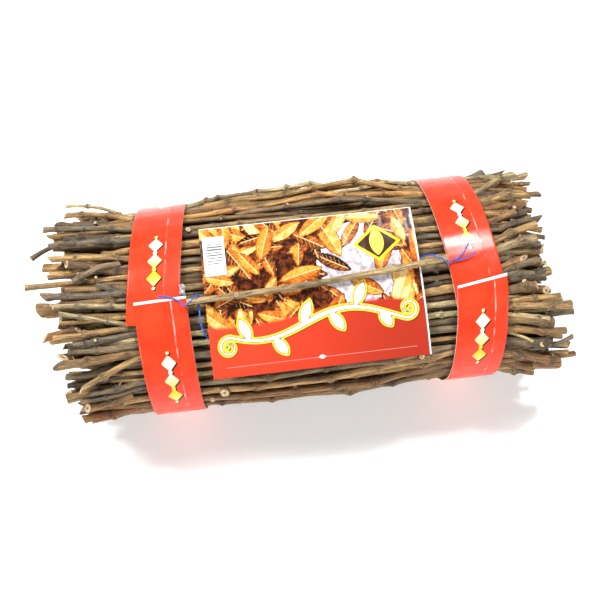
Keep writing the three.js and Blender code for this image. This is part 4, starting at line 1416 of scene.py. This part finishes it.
def card_material():
    """The leaves and the disc, then the other print in layers over them."""
    shade = Shader("card_print")
    spot = shade.attribute("sheet", "Vector")
    u = shade.node("SeparateXYZ", {0: spot})
    tone, inside, along_rib, disc = (shade.attribute(key) for key in ("tone", "inside", "along_rib", "disc"))
    off_rib = shade.math("ABSOLUTE", shade.attribute("off_rib"))
    blotch = shade.noise(spot, 0.16, 4.0, 0.62)
    small = shade.noise(spot, 0.6, 3.0, 0.6)
    tone = shade.math("ADD", tone, shade.limits(blotch, 0.3, 0.7, -0.16, 0.16))
    colour = shade.over((0.022, 0.009, 0.006), (0.22, 0.045, 0.012), tone, 0.0, 0.3)
    colour = shade.over(colour, (0.66, 0.145, 0.016), tone, 0.25, 0.55)
    colour = shade.over(colour, (0.92, 0.37, 0.045), tone, 0.5, 0.8)
    colour = shade.over(colour, (0.98, 0.74, 0.34), tone, 0.8, 1.1)
    colour = shade.over(colour, (0.06, 0.018, 0.008), small, 0.3, 0.45, 0.55, 0.0)
    pale = shade.over((0.42, 0.36, 0.40), (0.80, 0.77, 0.80), blotch, 0.35, 0.65)
    pale = shade.over(pale, (0.86, 0.84, 0.86), disc, -5.0, -4.0, 0.0, 1.0)
    bare = shade.limits(inside, 0.0, 0.3, 1.0, 0.0)
    colour = shade.mix(shade.times(bare, shade.limits(disc, -0.3, 0.3, 1.0, 0.0)), colour, pale)
    deep = shade.limits(inside, 1.0, 2.2)
    rib = shade.limits(off_rib, 0.25, 0.75, 0.8, 0.0)
    colour = shade.mix(shade.times(rib, deep), colour, (0.96, 0.66, 0.26))
    vein = shade.math("MULTIPLY_ADD", off_rib, -0.9, along_rib)
    vein = shade.math("PINGPONG", vein, 2.2)
    vein = shade.times(shade.limits(vein, 0.15, 0.5, 0.5, 0.0), deep)
    colour = shade.mix(vein, colour, (0.90, 0.52, 0.16))
    rim = shade.times(shade.limits(inside, 0.0, 0.2), shade.limits(inside, 0.2, 1.0, 0.7, 0.0))
    colour = shade.mix(rim, colour, (0.03, 0.011, 0.006))
    red = shade.over((0.74, 0.060, 0.026), (0.42, 0.036, 0.018), u, -100.0, 100.0)
    layers = (
        ((0.90, 0.60, 0.02), "emblem", -0.3, 0.3, 1.0, 0.0),
        ((0.05, 0.022, 0.014), "emblem", -3.1, -2.6, 1.0, 0.0),
        ((0.96, 0.66, 0.10), "drop", -0.3, 0.3, 1.0, 0.0),
        (red, "below", -2.5, 2.5),
        ((0.05, 0.02, 0.008), "vine_shadow", -0.5, 1.4, 0.9, 0.0),
        ((0.92, 0.70, 0.05), "vine", 1.2, 1.7, 1.0, 0.0),
        ((0.20, 0.16, 0.07), "vine", -0.2, 0.25, 1.0, 0.0),
        ((0.93, 0.92, 0.88), "vine", -0.9, -0.5, 1.0, 0.0),
        ((0.94, 0.86, 0.82), "rule", -0.15, 0.15, 1.0, 0.0),
        ((0.92, 0.92, 0.92), "margin", -0.2, 0.1),
    )
    for tint, key, *limits in layers:
        colour = shade.over(colour, tint, shade.attribute(key), *limits)
    ripple = shade.noise(shade.stretch(spot, (1.0, 0.5, 1.0)), 0.035, 3.0, 0.5)
    return shade.set(
        Base_Color=colour,
        Roughness=0.2,
        Normal=shade.bump(ripple, 3.0 * MM, 0.5),
        Specular_IOR_Level=0.18,
    )


def flat_grid(columns, rows, width, height):
    """Places on a flat sheet, as distances along and up from its middle."""
    return np.meshgrid(np.linspace(-0.5, 0.5, columns) * width, np.linspace(-0.5, 0.5, rows) * height)


def card():
    u, v = flat_grid(*CARD_GRID, CARD_WIDTH, CARD_HEIGHT)
    wave = 0.35 * np.sin(u / 23.0 + v / 41.0) + 0.3 * np.sin(u / 37.0 - v / 19.0 + 1.0)
    front = card_points(u, v + CARD_V, CARD_BASE + CARD_THICKNESS + wave * 0.5)
    back = card_points(u, v + CARD_V, CARD_BASE + wave * 0.5)
    tone, inside, off_rib, along_rib = fallen_leaves(u, v)
    rule = np.maximum(np.abs(v + RULE_BELOW) - 0.45, np.abs(u) - 92.0)
    values = {
        "sheet": np.stack([u, v, 0 * u], -1),
        "tone": tone,
        "inside": inside,
        "off_rib": off_rib,
        "along_rib": along_rib,
        "disc": np.hypot(u - DISC_MIDDLE[0], v - DISC_MIDDLE[1]) - DISC_RADIUS,
        "below": picture_edge(u) - v,
        "vine": vine_distance(u, v),
        "vine_shadow": vine_distance(u - 1.3, v + 1.5),
        "emblem": emblem_distance(u, v),
        "drop": leaf_distance(u, v, (66.0, 27.0), (66.0, 55.0), 7.0),
        "rule": np.minimum(rule, lozenge(v + RULE_BELOW, u, 4.0, 2.4)),
        "margin": np.maximum(u - CARD_WIDTH / 2 + 1.5, v - CARD_HEIGHT / 2 + 0.7),
    }
    piece = sheet("print_card", front, back, values, (card_material(), PAPER))
    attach(piece, "root")
    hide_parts("label_card")


card()


def sticker_material():
    """White paper with bars of random thickness."""
    shade = Shader("sticker_print")
    spot = shade.attribute("sheet", "Vector")
    u = shade.node("SeparateXYZ", {0: spot})
    v = u.node.outputs[1]
    row = shade.math("DIVIDE", v, BAR_PITCH)
    chance = shade.node("TexWhiteNoise", {"W": shade.math("FLOOR", row)}, "Value", noise_dimensions="1D")
    thick = shade.math("MULTIPLY_ADD", chance, 0.35, 0.35)
    bar = shade.math("LESS_THAN", shade.math("FRACT", row), thick)
    high = shade.limits(shade.math("ABSOLUTE", shade.math("SUBTRACT", v, 3.0)), 11.4, 11.6, 1.0, 0.0)
    wide = shade.limits(shade.math("ABSOLUTE", shade.math("SUBTRACT", u, 0.5)), 7.4, 7.6, 1.0, 0.0)
    ink = shade.times(shade.times(high, wide), bar)
    fibre = shade.noise(spot, 1.3, 3.0)
    paper = shade.mix(fibre, (0.86, 0.86, 0.87), (0.93, 0.93, 0.94))
    colour = shade.mix(shade.times(ink, 0.9), paper, (0.05, 0.05, 0.06))
    return shade.set(Base_Color=colour, Roughness=0.45, Normal=shade.bump(fibre, 0.05 * MM, 0.4))


def sticker():
    u, v = flat_grid(*STICKER_GRID, STICKER_WIDTH, STICKER_HEIGHT)
    curl = 0.5 * np.clip((2 * u / STICKER_WIDTH) * (-2 * v / STICKER_HEIGHT), 0, 1) ** 3
    out = CARD_BASE + CARD_THICKNESS + GAP + curl
    front = card_points(u + STICKER_U, v + STICKER_V, out + STICKER_THICKNESS)
    back = card_points(u + STICKER_U, v + STICKER_V, out)
    values = {"sheet": np.stack([u, v, 0 * u], -1)}
    piece = sheet("print_sticker", front, back, values, (sticker_material(), PAPER))
    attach(piece, "root")
    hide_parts("barcode_sticker")


sticker()


# Scrap of clear film, crumpled at the left tie
def film_material():
    shade = Shader("clear_film")
    spot = shade.attribute("sheet", "Vector")
    creases = shade.noise(spot, 0.3, 1.0, 0.5)
    return shade.set(
        Base_Color=shade.mix(creases, (0.75, 0.76, 0.78), (0.95, 0.95, 0.95)),
        Roughness=0.08,
        Alpha=shade.limits(creases, 0.42, 0.62, 0.10, 0.42),
        Normal=shade.bump(creases, 1.0 * MM, 0.6),
        Specular_IOR_Level=0.6,
    )


def film_scrap():
    wide, high = np.meshgrid(np.linspace(-2.6, 2.6, 12), np.linspace(-5.0, 5.0, 20))
    crumple = 1.1 * np.sin(1.4 * wide + 0.6 * high) * np.cos(0.7 * high - 0.5 * wide)
    turn = np.interp(FILM_PLACE[1] + high, SEEN_ACROSS, SEEN_TURN)
    x = CARD_MIDDLE + FILM_PLACE[0] + wide + 0.5 * np.sin(0.9 * high)
    grids = []
    for thick in (FILM_THICKNESS, 0.0):
        section = skin_point(turn.ravel(), (FILM_PLACE[2] + crumple + thick).ravel())
        grids.append(np.concatenate([x[..., None], section.reshape(*x.shape, 2)], -1))
    film = film_material()
    piece = sheet("film_scrap", *grids, {"sheet": np.stack([wide, high, 0 * wide], -1)}, (film, film))
    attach(piece, "root")


film_scrap()


# Wire ties
def wire_material():
    shade = Shader("blue_wire")
    spot = shade.node("TexCoord", {}, "Object")
    scuffs = shade.noise(spot, 900.0, 3.0, 0.6)
    colour = shade.mix(scuffs, (0.006, 0.065, 0.36), (0.02, 0.14, 0.56))
    return shade.set(Base_Color=colour, Roughness=shade.limits(scuffs, 0.3, 0.7, 0.22, 0.42), Coat_Weight=0.3)


WIRE = wire_material()
for name in ("wire_tie_left", "wire_tie_right"):
    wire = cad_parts[name]
    weld = wire.modifiers.new("weld", "WELD")
    weld.merge_threshold = 0.02 * MM
    smooth = wire.modifiers.new("smooth", "SUBSURF")
    smooth.levels = smooth.render_levels = 1
    wire.data.materials.clear()
    wire.data.materials.append(WIRE)


# Floor, light and camera
def area_light(name, place_at, aim, size, power):
    light = bpy.data.lights.new(name, "AREA")
    light.shape = "RECTANGLE"
    light.size, light.size_y = size
    light.energy = power
    lamp = link(name, light)
    lamp.location = place_at
    lamp.rotation_euler = (Vector(aim) - Vector(place_at)).to_track_quat("-Z", "Y").to_euler()


def floor():
    mesh = bpy.data.meshes.new("floor")
    corners = [(x * FLOOR_REACH, y * FLOOR_REACH, 0) for x, y in ((-1, -1), (1, -1), (1, 1), (-1, 1))]
    mesh.from_pydata(corners, [], [(0, 1, 2, 3)])
    material = Shader("floor").set(
        Base_Color=FLOOR_WHITE,
        Roughness=0.9,
        Emission_Color=FLOOR_WHITE,
        Emission_Strength=FLOOR_GLOW,
    )
    mesh.materials.append(material)
    link("floor", mesh)


def camera():
    data = bpy.data.cameras.new("camera")
    data.sensor_width = SENSOR
    data.lens = SENSOR * FOCAL_PIXELS / PHOTO_PIXELS
    eye = link("camera", data)
    back = Vector(
        (
            math.sin(CAMERA_AZIMUTH) * math.cos(CAMERA_ELEVATION),
            -math.cos(CAMERA_AZIMUTH) * math.cos(CAMERA_ELEVATION),
            math.sin(CAMERA_ELEVATION),
        )
    )
    turn = back.to_track_quat("Z", "Y")
    middle = Vector((CARD_MIDDLE, MIDDLE_Y, CENTRE_Z)) * MM
    eye.location = middle + back * CAMERA_DISTANCE + turn @ Vector((CAMERA_ASIDE, CAMERA_UP, 0.0))
    eye.rotation_mode = "QUATERNION"
    eye.rotation_quaternion = turn
    data.clip_start = 0.01
    bpy.context.scene.camera = eye


def world_light():
    """A white room that is dim above and bright near the horizon."""
    world = bpy.data.worlds.new("studio")
    world.use_nodes = True
    tree = world.node_tree
    background = tree.nodes["Background"]
    background.inputs[0].default_value = (1.0, 1.0, 1.0, 1.0)
    direction = tree.nodes.new("ShaderNodeTexCoord")
    split = tree.nodes.new("ShaderNodeSeparateXYZ")
    fade = tree.nodes.new("ShaderNodeMapRange")
    fade.interpolation_type = "SMOOTHSTEP"
    for socket, value in zip(fade.inputs[1:5], ROOM_FADE):
        socket.default_value = value
    tree.links.new(direction.outputs["Generated"], split.inputs[0])
    tree.links.new(split.outputs[2], fade.inputs[0])
    tree.links.new(fade.outputs[0], background.inputs[1])
    bpy.context.scene.world = world


floor()
world_light()
camera()
for name, settings in LIGHTS.items():
    area_light(name, *settings)
bpy.context.scene.view_settings.view_transform = "Standard"
